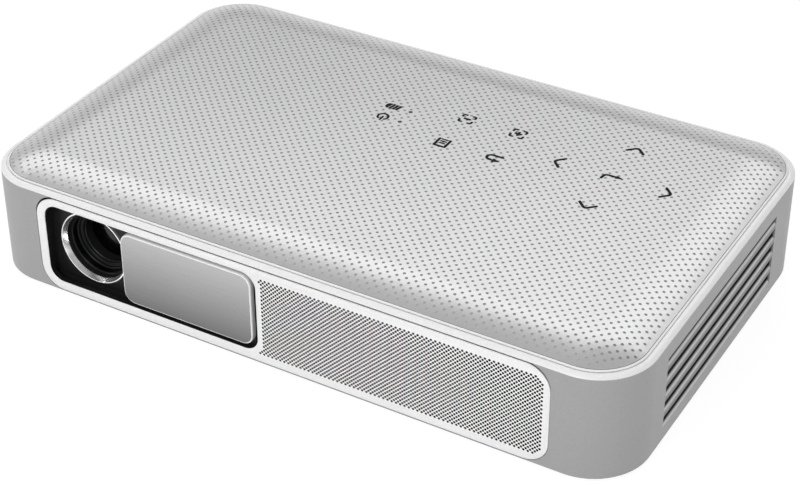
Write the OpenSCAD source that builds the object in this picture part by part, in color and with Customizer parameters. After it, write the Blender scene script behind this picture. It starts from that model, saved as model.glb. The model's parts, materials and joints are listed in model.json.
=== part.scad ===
// Slim pocket projector with a sliding lens cover and a perforated speaker front.
// Millimetres. Origin: centre of the footprint, on the surface that the feet stand on.
// +X runs along the front towards the side vents, -Y is the front, +Z is up.

/* [Case] */
// Width along the front
body_w = 230; // [216:1:250]
// Depth from front to back
body_d = 142.5; // [140:0.5:156]
// Height of the side walls, without the feet
wall_h = 36.2; // [36:0.1:40]
// Radius of the four upright corners
corner_r = 19; // [18.5:0.5:21]
// Thickness of the side walls
wall_t = 2.2; // [2.1:0.1:2.5]
// Thickness of the floor
floor_t = 2.2; // [1.8:0.1:2.4]
// Height that the feet stand proud of the floor
foot_h = 1.2; // [0.8:0.1:2.5]
// Radius of a foot
foot_r = 6; // [4:0.5:7]
// Inset of the feet from the sides
foot_inset = 22; // [19:1:30]
// Chamfer under the walls
base_chamfer = 0.6; // [0.3:0.1:1]

/* [Rim and top cover] */
// Width of the bright rim, seen from above
rim_w = 2; // [1.7:0.1:2.4]
// Rise of the rim from the case to the groove
rim_rise = 1; // [0.8:0.1:1.4]
// Radius of the rim's rounded face
rim_round = 3; // [2.4:0.2:6]
// Groove between the rim and the top cover
groove_w = 0.4; // [0.3:0.05:0.6]
// Rise of the top cover's edge above the rim
edge_lift = 0.2; // [0:0.05:0.4]
// Width of the top cover's rolled border
roll_w = 15.5; // [12:0.5:16]
// Rise of the rolled border
roll_rise = 3.2; // [2.4:0.1:4]
// Thickness of the top cover
cover_t = 1.4; // [1.2:0.1:1.6]

/* [Front panel] */
// Flat wall between the rounding of a corner and the panel
panel_side = 4.6; // [3.8:0.1:7]
// Strip of the case under the panel
panel_lift = 0.9; // [0.6:0.1:1.2]
// Corner radius of the panel
panel_r = 8; // [6:0.5:9]
// Thickness of the panel
panel_t = 1.9; // [1.7:0.1:2]
// Gap all round the panel
panel_gap = 0.15; // [0.1:0.05:0.25]
// Border between the panel's edge and its windows
panel_border = 3.2; // [3:0.1:3.6]
// Width of the lens window
window_w = 80.4; // [79:0.2:83]
// Corner radius of the lens window
window_r = 5; // [3:0.5:6]
// Strip between the lens window and the grille
window_strip = 1.2; // [1:0.1:2]

/* [Speaker grille] */
// Border between the perforated field and the panel's end
grille_border = 1.8; // [1.5:0.1:3.2]
// Thickness of the grille plate
grille_t = 1.2; // [0.8:0.1:1.4]
// Distance between holes in a row
hole_pitch = 3; // [2.8:0.1:5]
// Diameter of a hole
hole_d = 1.3; // [1:0.1:1.6]

/* [Lens cover] */
// Width of the sliding lens cover
slide_w = 48.9; // [46:0.1:52]
// Gap between the open cover and the window's end
slide_gap = 1.9; // [1:0.1:2.5]
// Gap above the cover
slide_gap_top = 1.3; // [0.4:0.1:1.6]
// Gap under the cover
slide_gap_low = 1.3; // [0.5:0.1:1.6]
// Corner radius of the cover
slide_r = 4; // [3:0.5:6]
// How far the cover's face sits behind the panel's
slide_sink = 0.2; // [0.1:0.05:0.4]
// Thickness of the carriage behind the cover
carriage_t = 1.15; // [0.9:0.05:1.3]

/* [Side vents] */
// Number of slots in each side
vent_n = 5; // [3:1:5]
// Distance from slot to slot
vent_pitch = 5.6; // [5.2:0.1:5.8]
// Clear height of a slot
vent_gap = 2; // [1.4:0.1:2.2]
// Length of a slot
vent_l = 84.7; // [60:0.5:88]
// Rounding of the bars between the slots
vent_round = 1.5; // [0.8:0.1:1.6]

/* [Lens] */
// Lens axis, from the left end of the window
lens_in = 15.6; // [15:0.1:17]
// Outer radius of the bright lens ring
ring_r = 13.13; // [12.6:0.05:13.4]
// Radius of the bore that the lens barrel slides in
bore_r = 10.9; // [10.5:0.1:11.2]
// Radius of the front lens
glass_r = 8.6; // [7.5:0.1:8.8]
// Focus travel, each way
focus_travel = 1.2; // [0.6:0.1:1.4]
// Tooth module of the focus gears
gear_m = 0.6; // [0.5:0.05:0.6]
// Teeth on the focus ring
ring_teeth = 50; // [48:1:50]
// Teeth on the focus pinion
pinion_teeth = 12; // [11:1:13]

/* [Inside] */
// Side of a fan frame
fan_w = 30; // [26:0.5:30.5]
// Thickness of a fan frame
fan_t = 8; // [7:0.5:8.5]
// Blades on a fan
fan_blades = 7; // [5:1:9]
// Length of the battery pack
battery_l = 110; // [80:1:112]
// Depth of the battery pack
battery_w = 61; // [45:1:62]
// Height of the battery pack
battery_h = 18; // [12:0.5:19]
// Height of the circuit board above the floor
board_lift = 20.6; // [19.8:0.2:21.4]
// Radius of the tripod thread's core
tripod_r = 2.55; // [2.3:0.05:3.2]
// Depth of the tripod thread
tripod_l = 8; // [6:0.5:10]

/* [Hidden] */

// Heights
z_base = foot_h;
z_floor = z_base + floor_t;
z_crease = z_base + wall_h;
z_rim = z_crease + rim_rise;
z_edge = z_rim + edge_lift;
z_top = z_edge + roll_rise;
shelf_drop = 0.2;
z_shelf = z_crease - shelf_drop;

// Sides
x_out = body_w / 2;
y_out = body_d / 2;
x_in = x_out - wall_t;
y_in = y_out - wall_t;

// Joint between the walls and the rim
lip_w = 1;
lip_h = 1.2;
fit = 0.1;
shelf_in = 4.6;
leg_h = 2.8;

// Top cover
edge_in = rim_w + groove_w;
flat_in = edge_in + roll_w;
roll_r = (roll_w * roll_w + roll_rise * roll_rise) / (2 * roll_rise);

// Slots sit a little in front of the middle
vent_shift = 1.15;

// Front panel and its two windows
panel_x = x_out - corner_r - panel_side;
panel_z0 = z_base + panel_lift;
panel_z1 = z_crease - fit;
panel_back = -y_out + panel_t;
window_x0 = -panel_x + panel_border;
window_x1 = window_x0 + window_w;
window_z0 = panel_z0 + panel_border;
window_z1 = panel_z1 - panel_border - 0.1;
grille_x0 = window_x1 + window_strip;
grille_x1 = panel_x - grille_border;
grille_w = grille_x1 - grille_x0;
grille_r = 3.5;
backing_t = 0.3;
ledge = 1;

// Two speakers side by side behind the grille
speaker_in = 6;
speaker_gap = 7.4;
speaker_w = (grille_w - 2 * speaker_in - speaker_gap) / 2;
speaker_h = 29;
speaker_l = 12;
speaker_wall = 3;
speaker_x = [grille_x0 + speaker_in + speaker_w / 2, grille_x1 - speaker_in - speaker_w / 2];
cone_r = 12;

// Sliding lens cover, shown open
slide_x1 = window_x1 - slide_gap;
slide_x0 = slide_x1 - slide_w;
slide_z0 = window_z0 + slide_gap_low;
slide_z1 = window_z1 - slide_gap_top;
slide_y0 = -y_out + slide_sink;
slide_y1 = panel_back + 0.2;
slide_travel = slide_x0 - window_x0 - 1;
carriage_y1 = slide_y1 + carriage_t;
carriage_over = 0.6;
run = 0.3;
rail_y1 = carriage_y1 + run + 0.8;
rail_h = 0.9;
rail_lip = 1.5;

// Lens parts, along the lens axis
lens_x = window_x0 + lens_in;
lens_z = (window_z0 + window_z1) / 2;
shroud_y0 = rail_y1 + 0.2;
shroud_t = 1;
shroud_x0 = window_x0 - 1.1;
shroud_x1 = lens_x + ring_r + 5;
ring_y0 = carriage_y1 + 0.5;
flange_y0 = shroud_y0 + shroud_t;
flange_t = 1;
flange_r = ring_r + 1.3;
tube_y0 = flange_y0 + flange_t;
tube_r = bore_r + 1.55;
gear_y0 = tube_y0 + 2.7;
gear_t = 6;
drive_l = 24;
engine_y0 = gear_y0 + drive_l;
run_fit = 0.06;
barrel_y0 = gear_y0;
barrel_l = 20;
glass_y0 = barrel_y0 + 3.4;
glass_y1 = glass_y0 + 3.2;
pin_r = 0.8;

// Focus gears
ring_pitch_r = gear_m * ring_teeth / 2;
pinion_pitch_r = gear_m * pinion_teeth / 2;
pinion_x = lens_x + ring_pitch_r + pinion_pitch_r + 0.1;
motor_r = 5;

// Fans, heat sink and light engine, side by side from the left wall
fan_x0 = -x_in + 0.3;
fan_x1 = fan_x0 + fan_t;
fan_z = z_floor + fan_w / 2;
fan_gap = 2;
fan_mid = -2;
fan_y = [fan_mid - (fan_w + fan_gap) / 2, fan_mid + (fan_w + fan_gap) / 2];
fan_room = 0.3;
fan_hole_r = fan_w / 2 - 1.4;
hub_r = 6.5;
sink_x0 = fan_x1 + 0.3;
sink_x1 = sink_x0 + 7.7;
sink_base = 1.5;
led_l = 4.5;
engine_x0 = sink_x1 + led_l;
engine_wall = 2.5;
engine_side = 21;
engine_x1 = lens_x + engine_side;
engine_l = 46;
engine_y1 = engine_y0 + engine_l;
engine_h = 29;
engine_z1 = z_floor + engine_h;
lid_t = 1.2;
led_step = 15;
led_y = [engine_y0 + engine_l / 2 - led_step, engine_y0 + engine_l / 2, engine_y0 + engine_l / 2 + led_step];
led_half = 7;

// Boards, battery and sockets
board_z = z_floor + board_lift;
board_t = 1.6;
board_x0 = engine_x1 + 5;
board_x1 = x_in - 9;
board_y0 = -y_in + 22;
board_y1 = y_in - 0.6;
board_top = board_z + board_t;
battery_x0 = board_x0 + 2;
battery_y1 = y_in - 7;
tripod_y = -30;
cuts = 0.25;
sunk = 0.3;
socket_x = [board_x1 - 16, board_x1 - 40, board_x1 - 62, board_x1 - 82, board_x1 - 106];
hdmi_half = 7.5;
usb_half = 6.6;
card_half = 13;
ir_w = 14;
ir_h = 7;
ir_gap = 3.4;
ir_x1 = socket_x[4] - card_half - ir_gap;
post_r = 3.4;
post_at = corner_r - wall_t - 1 - post_r;
boss_h = 2.6;
boss_r = post_r + 1.7;

// Lamps of the touch keys, and the board under the keys
lamp_x = -8.75;
lamp_y = [24.8, 17.6];
lamp_r = 0.6;
touch_x0 = lamp_x - 13.25;
touch_x1 = x_out - flat_in - 3.1;
touch_y0 = lamp_y[1] - 21.6;
touch_y1 = y_out - flat_in - 7.35;
touch_t = 1;

// Rounded rectangle with straight sides and true arcs
module rrect(x0, y0, x1, y1, r) {
  translate([x0 + r, y0]) square([x1 - x0 - 2 * r, y1 - y0]);
  translate([x0, y0 + r]) square([x1 - x0, y1 - y0 - 2 * r]);
  for (x = [x0 + r, x1 - r], y = [y0 + r, y1 - r]) translate([x, y]) circle(r, $fn = 96);
}

// Footprint of the case, drawn in by a distance
module footprint(inset) {
  rrect(-x_out + inset, -y_out + inset, x_out - inset, y_out - inset, corner_r - inset);
}

// Runs a profile round the case: its x is the distance in from the side, its y the height
module round_case() {
  for (m = [0, 1]) mirror([0, m, 0]) translate([-x_out + corner_r, -y_out, 0])
    rotate([90, 0, 90]) linear_extrude(body_w - 2 * corner_r) children();
  for (m = [0, 1]) mirror([m, 0, 0]) translate([-x_out, y_out - corner_r, 0])
    rotate([90, 0, 0]) linear_extrude(body_d - 2 * corner_r) children();
  for (mx = [0, 1], my = [0, 1]) mirror([mx, 0, 0]) mirror([0, my, 0])
    translate([x_out - corner_r, y_out - corner_r, 0])
      rotate_extrude(angle = 90, $fn = 96) translate([corner_r, 0]) mirror([1, 0]) children();
}

// Plate drawn in x and z, between two depths
module plate_y(y0, y1) {
  translate([0, y1, 0]) rotate([90, 0, 0]) linear_extrude(y1 - y0) children();
}

// Plate drawn in y and z, between two widths
module plate_x(x0, x1) {
  translate([x0, 0, 0]) rotate([90, 0, 90]) linear_extrude(x1 - x0) children();
}

// Plate drawn in x and y, between two heights
module plate_z(z0, z1) {
  translate([0, 0, z0]) linear_extrude(z1 - z0) children();
}

// Rod along y
module rod_y(x, z, r, y0, y1) {
  translate([x, y0, z]) rotate([-90, 0, 0]) cylinder(r = r, h = y1 - y0, $fn = 64);
}

// Turned part about the lens axis: the profile's x is the radius, its y the depth
module turned(x = lens_x, z = lens_z) {
  translate([x, 0, z]) rotate([-90, 0, 0]) rotate_extrude($fn = 128) children();
}

module box(x0, y0, z0, x1, y1, z1) {
  translate([x0, y0, z0]) cube([x1 - x0, y1 - y0, z1 - z0]);
}

module at_corners() {
  for (mx = [0, 1], my = [0, 1]) mirror([mx, 0, 0]) mirror([0, my, 0])
    translate([x_out - corner_r + post_at * sin(45), y_out - corner_r + post_at * sin(45), 0]) children();
}

module at_feet() {
  for (mx = [0, 1], my = [0, 1]) mirror([mx, 0, 0]) mirror([0, my, 0])
    translate([x_out - foot_inset, y_out - foot_inset, 0]) children();
}

// ---- Case ----

// Rounds off a bar's outer corner. The bar lies at x > 0, y < 0.
module bar_corner_cut(r) {
  c = r * cos(12);
  reach = c - r * sin(12);
  difference() {
    translate([-0.5, -reach]) square([0.5 + reach, reach + 0.01]);
    translate([c, -c]) circle(r, $fn = 96);
  }
}

// Slots of one side, as a profile of distance in from the side and height
module vent_profile() {
  mid = (z_base + z_crease) / 2 + 0.1;
  for (k = [0 : vent_n - 1]) {
    z = mid + (k - (vent_n - 1) / 2) * vent_pitch;
    translate([-1, z - vent_gap / 2]) square([wall_t + 2, vent_gap]);
    translate([0, z - vent_gap / 2]) bar_corner_cut(vent_round);
    if (k < vent_n - 1) translate([0, z + vent_gap / 2]) mirror([0, 1]) bar_corner_cut(vent_round);
  }
}

module vents() {
  for (m = [0, 1]) mirror([m, 0, 0]) translate([-x_out, vent_l / 2 - vent_shift, 0])
    rotate([90, 0, 0]) linear_extrude(vent_l) vent_profile();
}

module panel_opening() {
  g = panel_gap;
  half = panel_x - panel_r + 2;
  plate_y(-y_out - 1, -y_out + wall_t + 0.1) {
    rrect(-panel_x - g, panel_z0 - g, panel_x + g, panel_z1 + fit + 0.05, panel_r + g);
    translate([-half, z_crease - 3]) square([2 * half, 12]);
  }
}

// Outlines of the sockets in the rear wall, in x and z, with a clearance
module socket_cuts(c) {
  z = board_top;
  translate([socket_x[0], z + 4.2]) circle(4 + c, $fn = 64);
  rrect(socket_x[1] - hdmi_half - c, z + 0.4 - c, socket_x[1] + hdmi_half + c, z + 6 + c, 0.8 + c);
  rrect(socket_x[2] - usb_half - c, z + 0.6 - c, socket_x[2] + usb_half + c, z + 6.3 + c, 0.4 + c);
  translate([socket_x[3], z + 3.2]) circle(3 + c, $fn = 64);
  rrect(socket_x[4] - card_half - c, z + 0.3 - c, socket_x[4] + card_half + c, z + 2.9 + c, 0.4 + c);
}

module ir_outline(c) {
  rrect(ir_x1 - ir_w - c, board_top - c, ir_x1 + c, board_top + ir_h + c, 2 + c);
}

module housing() {
  color("silver") difference() {
    union() {
      difference() {
        plate_z(z_base, z_crease) footprint(0);
        plate_z(z_floor, z_crease + 1) footprint(wall_t);
        plate_z(z_crease - lip_h, z_crease + 1) footprint(lip_w);
        round_case() polygon([[-1, z_base - 1], [base_chamfer, z_base - 1], [base_chamfer, z_base],
          [0, z_base + base_chamfer], [-1, z_base + base_chamfer]]);
        panel_opening();
        vents();
        plate_y(y_in - 0.5, y_out + 1) socket_cuts(cuts);
        plate_y(y_in - 0.5, y_out + 1) ir_outline(0.1);
      }
      at_corners() translate([0, 0, z_base + 0.5]) cylinder(r = boss_r, h = floor_t - 0.5 + boss_h, $fn = 64);
      translate([0, tripod_y, z_base + 0.5]) cylinder(r = 8, h = tripod_l + 0.5, $fn = 64);
      board_posts();
    }
    at_corners() {
      translate([0, 0, z_base - 1]) cylinder(r = 1.6, h = 20, $fn = 48);
      translate([0, 0, z_base - 1]) cylinder(r = 3, h = 1 + 2.4, $fn = 48);
    }
    at_feet() translate([0, 0, z_base - 1]) cylinder(r = foot_r + 0.1, h = 1.6, $fn = 64);
    translate([0, tripod_y, z_base - 1]) cylinder(r = 5.05, h = tripod_l + 4, $fn = 64);
    translate([0, tripod_y, z_base - 1]) cylinder(r = 6.6, h = 2, $fn = 64);
  }
}

board_holes = [[board_x0 + 4, board_y0 + 4], [board_x1 - 4, board_y0 + 4], [board_x1 - 4, board_y1 - 26],
  [board_x0 + 4, board_y1 - 2.8]];

module board_posts() {
  for (p = board_holes) translate([p[0], p[1], z_base + 0.5]) {
    cylinder(r = 2.8, h = board_z - z_base - 0.5, $fn = 48);
    cylinder(r = 1.2, h = board_z - z_base - 0.5 + board_t - 0.1, $fn = 48);
  }
}

module rim_profile() {
  chord = sqrt(rim_w * rim_w + rim_rise * rim_rise);
  off = sqrt(rim_round * rim_round - chord * chord / 4);
  intersection() {
    translate([0, z_crease]) square([rim_w, rim_rise + 1]);
    translate([rim_w / 2 + off * rim_rise / chord, z_crease + rim_rise / 2 - off * rim_w / chord])
      circle(rim_round, $fn = 128);
  }
  translate([lip_w + fit, z_crease - lip_h + fit]) square([rim_w - lip_w - fit, lip_h]);
  translate([lip_w + fit, z_crease - lip_h + fit])
    square([shelf_in - lip_w - fit, lip_h - fit - shelf_drop]);
}

module rim_leg_profile() {
  translate([wall_t + fit, z_crease - leg_h]) square([shelf_in - wall_t - fit, leg_h - shelf_drop]);
}

module rim_ring() {
  color("whitesmoke") {
    difference() {
      union() {
        round_case() rim_profile();
        round_case() rim_leg_profile();
        at_corners() translate([0, 0, z_floor + boss_h])
          cylinder(r = post_r, h = z_shelf - z_floor - boss_h, $fn = 64);
      }
      // Room for the top of the front panel
      box(-panel_x - 3, -y_out - 1, z_crease - leg_h - 1, panel_x + 3, -y_out + shelf_in + 1,
        z_crease - lip_h + fit);
      // Room for the fans' tops
      box(-x_in, fan_y[0] - fan_w / 2 - fan_room, z_floor, fan_x1 + fan_room, fan_y[1] + fan_w / 2 + fan_room,
        z_floor + fan_w + fan_room);
      at_corners() translate([0, 0, z_floor + boss_h - 1]) cylinder(r = 1.45, h = 14, $fn = 48);
    }
  }
}

module top_cover() {
  color("gainsboro") difference() {
    union() {
      round_case() difference() {
        intersection() {
          translate([edge_in, z_shelf]) square([roll_w, z_top - z_shelf]);
          translate([flat_in, z_top - roll_r]) circle(roll_r, $fn = 256);
        }
        intersection() {
          translate([edge_in + cover_t, z_shelf - 1]) square([roll_w, z_top - z_shelf]);
          translate([flat_in, z_top - roll_r]) circle(roll_r - cover_t, $fn = 256);
        }
      }
      plate_z(z_top - cover_t, z_top) footprint(flat_in);
    }
    for (y = lamp_y) translate([lamp_x, y, z_top - cover_t - 1])
      cylinder(r = lamp_r, h = cover_t + 2, $fn = 32);
  }
}

module light_pipes() {
  color("white") for (y = lamp_y) translate([lamp_x, y, z_top - cover_t])
    cylinder(r = lamp_r - 0.05, h = cover_t - 0.05, $fn = 32);
}

// ---- Front ----

module front_panel() {
  rib_z0 = panel_z0 + panel_r + 0.5;
  rib_z1 = panel_z1 - panel_r - 0.5;
  color("silver") difference() {
    union() {
      plate_y(-y_out, panel_back) rrect(-panel_x, panel_z0, panel_x, panel_z1, panel_r);
      for (m = [0, 1]) mirror([m, 0, 0]) {
        box(-panel_x + 0.1, panel_back - 0.1, rib_z0, -panel_x + 1.7, -y_out + wall_t + 1.4, rib_z1);
        box(-panel_x - 1.8, -y_out + wall_t + 0.15, rib_z0, -panel_x + 1.7, -y_out + wall_t + 1.4, rib_z1);
      }
    }
    plate_y(-y_out - 1, panel_back + 1) rrect(window_x0, window_z0, window_x1, window_z1, window_r);
    plate_y(-y_out - 1, -y_out + grille_t + backing_t)
      rrect(grille_x0 - 0.1, window_z0 - 0.1, grille_x1 + 0.1, window_z1 + 0.1, grille_r + 0.1);
    plate_y(-y_out - 1, panel_back + 1)
      rrect(grille_x0 + ledge, window_z0 + ledge, grille_x1 - ledge, window_z1 - ledge, grille_r - ledge);
    // Step that passes behind the rim's tongue
    box(-panel_x - 1, -y_out + lip_w, z_crease - lip_h, panel_x + 1, -y_out + 6, z_crease + 1);
  }
}

module speaker_grille() {
  edge = ledge + hole_d / 2 + 0.4;
  nx = floor((grille_w - 2 * edge) / hole_pitch);
  nz = floor((window_z1 - window_z0 - 2 * edge) / hole_pitch);
  gx = (grille_x0 + grille_x1 - nx * hole_pitch) / 2;
  gz = (window_z0 + window_z1 - nz * hole_pitch) / 2;
  color("silver") plate_y(-y_out, -y_out + grille_t) difference() {
    rrect(grille_x0, window_z0, grille_x1, window_z1, grille_r);
    for (i = [0 : nx], k = [0 : nz]) translate([gx + i * hole_pitch, gz + k * hole_pitch])
      circle(d = hole_d, $fn = 16);
    for (i = [0 : nx - 1], k = [0 : nz - 1])
      translate([gx + (i + 0.5) * hole_pitch, gz + (k + 0.5) * hole_pitch]) circle(d = hole_d, $fn = 16);
  }
}

module grille_backing() {
  color("black") plate_y(-y_out + grille_t, -y_out + grille_t + backing_t)
    rrect(grille_x0, window_z0, grille_x1, window_z1, grille_r);
}

module lens_cover() {
  color("darkgray") plate_y(slide_y0, slide_y1) rrect(slide_x0, slide_z0, slide_x1, slide_z1, slide_r);
}

module cover_carriage() {
  color("dimgray") plate_y(slide_y1, carriage_y1)
    rrect(slide_x0, window_z0 - carriage_over, slide_x1, window_z1 + carriage_over, 1);
}

// Two rails that the carriage runs between, with stops at both ends
module cover_rails() {
  stop = slide_x0 - slide_travel - run;
  x0 = stop - 0.6;
  x1 = window_x1 + 1.4;
  zl = window_z0 - carriage_over - run;
  zh = window_z1 + carriage_over + run;
  color("black") {
    difference() {
      box(x0, panel_back, zl - rail_h, x1, rail_y1, zl + rail_lip);
      box(stop, panel_back - 1, zl, slide_x1 + run, rail_y1 - 0.8, zl + rail_lip + 1);
    }
    difference() {
      box(x0, panel_back, zh - rail_lip, x1, rail_y1, zh + rail_h);
      box(stop, panel_back - 1, zh - rail_lip - 1, slide_x1 + run, rail_y1 - 0.8, zh);
    }
  }
}

module lens_shroud() {
  color("black") difference() {
    union() {
      box(shroud_x0, shroud_y0, z_floor, shroud_x1, flange_y0, z_crease - leg_h - 0.1);
      box(shroud_x0, panel_back + 0.1, window_z0 + 1, shroud_x0 + 0.7, shroud_y0, window_z1 - 1);
    }
    rod_y(lens_x, lens_z, ring_r + 0.1, shroud_y0 - 1, flange_y0 + 1);
  }
}

// ---- Lens ----

module lens_ring() {
  color("lightgray") turned() polygon([
    [ring_r - 0.45, ring_y0], [ring_r, ring_y0], [ring_r, flange_y0], [flange_r, flange_y0],
    [flange_r, tube_y0], [ring_r - 0.5, tube_y0], [ring_r - 0.5, tube_y0 + 1.1], [bore_r + 0.3, tube_y0 + 1.1]
  ]);
}

module lens_tube() {
  slot_y = gear_y0 + gear_t / 2;
  slot_l = focus_travel + 1.1;
  color("dimgray") difference() {
    turned() polygon([
      [bore_r, tube_y0 + 1.2], [ring_r - 0.4, tube_y0 + 1.2], [ring_r - 0.4, tube_y0], [flange_r, tube_y0],
      [flange_r, gear_y0 - 0.3], [tube_r, gear_y0 - 0.3], [tube_r, engine_y0 - 2],
      [tube_r + 0.8, engine_y0 - 2], [tube_r + 0.8, engine_y0], [bore_r, engine_y0]
    ]);
    box(lens_x - pin_r - 0.15, slot_y - slot_l, lens_z + bore_r - 2, lens_x + pin_r + 0.15, slot_y + slot_l,
      lens_z + tube_r + 2);
  }
}

module lens_barrel() {
  r = bore_r - run_fit;
  y = barrel_y0;
  color("black") {
    turned() polygon([
      [r - 0.7, y], [r, y], [r, y + barrel_l], [glass_r - 1.4, y + barrel_l], [glass_r - 1.4, glass_y1 + 1.8],
      [glass_r - 0.8, glass_y1 + 1.8], [glass_r - 0.8, glass_y1], [glass_r + 0.05, glass_y1],
      [glass_r + 0.05, glass_y0 - 0.6], [glass_r + 0.5, glass_y0 - 1.2], [glass_r + 0.5, y + 1.4],
      [r - 0.7, y + 1.4]
    ]);
    // Follower pin that the focus ring drives
    translate([lens_x, gear_y0 + gear_t / 2, lens_z + r - 0.6])
      cylinder(r = pin_r, h = tube_r - r + 0.5, $fn = 32);
  }
}

// Convex disc: flat back at y1, crown towards the front
module lens_glass(r, y1, rim, crown) {
  curve = (r * r + crown * crown) / (2 * crown);
  color("midnightblue") turned() intersection() {
    translate([0, y1 - rim - crown]) square([r, rim + crown]);
    translate([0, y1 - rim - crown + curve]) circle(curve, $fn = 256);
  }
}

module front_lens() {
  lens_glass(glass_r, glass_y1, 1.4, 1.6);
}

module rear_lens() {
  lens_glass(glass_r - 1.45, barrel_y0 + barrel_l - 0.3, 1.2, 1.2);
}

// Spur gear drawn about the origin. Teeth are straight-sided and cut shallow, with free play.
module gear_outline(teeth, play) {
  pitch_r = gear_m * teeth / 2;
  tip = pitch_r + 0.7 * gear_m;
  root = pitch_r - 0.95 * gear_m;
  half = gear_m * PI / 4 - play;
  circle(root, $fn = 128);
  for (k = [0 : teeth - 1]) rotate(k * 360 / teeth)
    polygon([[root - 0.3, -half * 1.35], [root, -half * 1.35], [tip, -half * 0.55], [tip, half * 0.55],
      [root, half * 1.35], [root - 0.3, half * 1.35]]);
}

module focus_ring() {
  color("ivory") translate([lens_x, gear_y0, lens_z]) rotate([-90, 0, 0]) linear_extrude(gear_t) difference() {
    gear_outline(ring_teeth, 0.08);
    circle(tube_r + run_fit, $fn = 128);
  }
}

module focus_pinion() {
  phase = pinion_teeth % 2 == 0 ? 180 / pinion_teeth : 0;
  color("gold") translate([pinion_x, 0, lens_z]) rotate([-90, 0, 0]) {
    translate([0, 0, gear_y0 + 0.5]) linear_extrude(gear_t - 1) rotate(phase) gear_outline(pinion_teeth, 0.08);
    translate([0, 0, gear_y0 + 0.5]) cylinder(r = 1, h = engine_y0 - 9 - gear_y0 - 0.5, $fn = 48);
  }
}

module focus_motor() {
  color("silver") difference() {
    union() {
      rod_y(pinion_x, lens_z, motor_r, engine_y0 - 12, engine_y0);
      rod_y(pinion_x, lens_z, 2.4, engine_y0 - 13.5, engine_y0 - 11.9);
    }
    rod_y(pinion_x, lens_z, 1 + run_fit, engine_y0 - 14, engine_y0 - 8.5);
  }
}

// ---- Light engine ----

module engine_block() {
  w = engine_wall;
  rib = 3;
  rib_step = 7;
  color("gray") difference() {
    box(engine_x0, engine_y0, z_floor, engine_x1, engine_y1, engine_z1);
    box(engine_x0 + w, engine_y0 + w, z_floor + w, engine_x1 - w, engine_y1 - w, engine_z1 + 1);
    rod_y(lens_x, lens_z, 9, engine_y0 - 1, engine_y0 + w + 1);
    plate_y(engine_y1 - w - 1, engine_y1 + 1) rrect(lens_x - 8, lens_z - 6, lens_x + 8, lens_z + 6, 1);
    for (y = led_y) translate([engine_x0 - 1, y, lens_z]) rotate([0, 90, 0])
      cylinder(r = 5.2, h = w + 2, $fn = 64);
    for (k = [0 : floor((engine_l - 2 * rib) / rib_step)])
      box(engine_x1 - 1, engine_y0 + 5 + k * rib_step, z_floor + rib, engine_x1 + 1,
        engine_y0 + 5 + rib + k * rib_step, engine_z1 - 2);
  }
}

module engine_lid() {
  color("darkgray") difference() {
    box(engine_x0, engine_y0, engine_z1, engine_x1, engine_y1, engine_z1 + lid_t);
    for (x = [engine_x0 + 5, engine_x1 - 5], y = [engine_y0 + 5, engine_y1 - 5])
      translate([x, y, engine_z1 - 1]) cylinder(r = 1.1, h = 4, $fn = 32);
  }
}

module prism() {
  s = 16;
  y = (led_y[0] + led_y[1]) / 2 - 1.5;
  color("lightcyan") plate_z(z_floor + engine_wall, lens_z + s / 2)
    polygon([[lens_x - s / 2, y], [lens_x + s / 2, y], [lens_x - s / 2, y + s]]);
}

module imager_board() {
  half_w = 15;
  half_h = 12;
  chip_w = 7;
  chip_h = 5;
  color("darkgreen") {
    plate_y(engine_y1, engine_y1 + 1.4)
      rrect(lens_x - half_w, lens_z - half_h, lens_x + half_w, lens_z + half_h, 1);
    box(lens_x - chip_w, engine_y1 - 1.8, lens_z - chip_h, lens_x + chip_w, engine_y1, lens_z + chip_h);
  }
}

// Light source with its collimator, on the engine's left wall
module led_module(y, tint) {
  color(tint) {
    plate_x(sink_x1, sink_x1 + 1.6)
      rrect(y - led_half, lens_z - led_half, y + led_half, lens_z + led_half, 1);
    translate([sink_x1 + 1.6, y, lens_z]) rotate([0, 90, 0]) cylinder(r1 = 3.4, r2 = 5, h = led_l, $fn = 64);
    for (k = [-1, 1]) box(sink_x1 + 1.6, y - led_half + 1, lens_z + k * 5.9 - 0.8, engine_x0,
      y + led_half - 1, lens_z + k * 5.9 + 0.8);
  }
}

module heat_sink() {
  fin_t = 0.9;
  fin_pitch = 2.8;
  y0 = fan_y[0] - fan_w / 2;
  y1 = fan_y[1] + fan_w / 2;
  color("silver") {
    box(sink_x1 - sink_base, y0, z_floor, sink_x1, y1, z_floor + fan_w);
    for (z = [z_floor : fin_pitch : z_floor + fan_w - fin_t])
      box(sink_x0, y0, z, sink_x1 - sink_base + 0.2, y1, z + fin_t);
  }
}

module fan_frame(y) {
  corner = fan_w / 2 - 2.6;
  color("dimgray") difference() {
    union() {
      plate_x(fan_x0, fan_x1) difference() {
        rrect(y - fan_w / 2, z_floor, y + fan_w / 2, z_floor + fan_w, 2);
        translate([y, fan_z]) circle(fan_hole_r, $fn = 96);
      }
      plate_x(fan_x0, fan_x0 + 1.2) {
        translate([y, fan_z]) circle(hub_r, $fn = 64);
        for (a = [30, 150, 270]) translate([y, fan_z]) rotate(a) translate([0, -1])
          square([fan_hole_r + 0.6, 2]);
      }
      translate([fan_x0, y, fan_z]) rotate([0, 90, 0]) cylinder(r = 2.4, h = 4, $fn = 48);
    }
    translate([fan_x0 + 0.8, y, fan_z]) rotate([0, 90, 0]) cylinder(r = 1.05, h = 8, $fn = 48);
    for (dy = [-1, 1], dz = [-1, 1]) translate([fan_x0 - 1, y + dy * corner, fan_z + dz * corner])
      rotate([0, 90, 0]) cylinder(r = 1.3, h = fan_t + 2, $fn = 32);
  }
}

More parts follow.
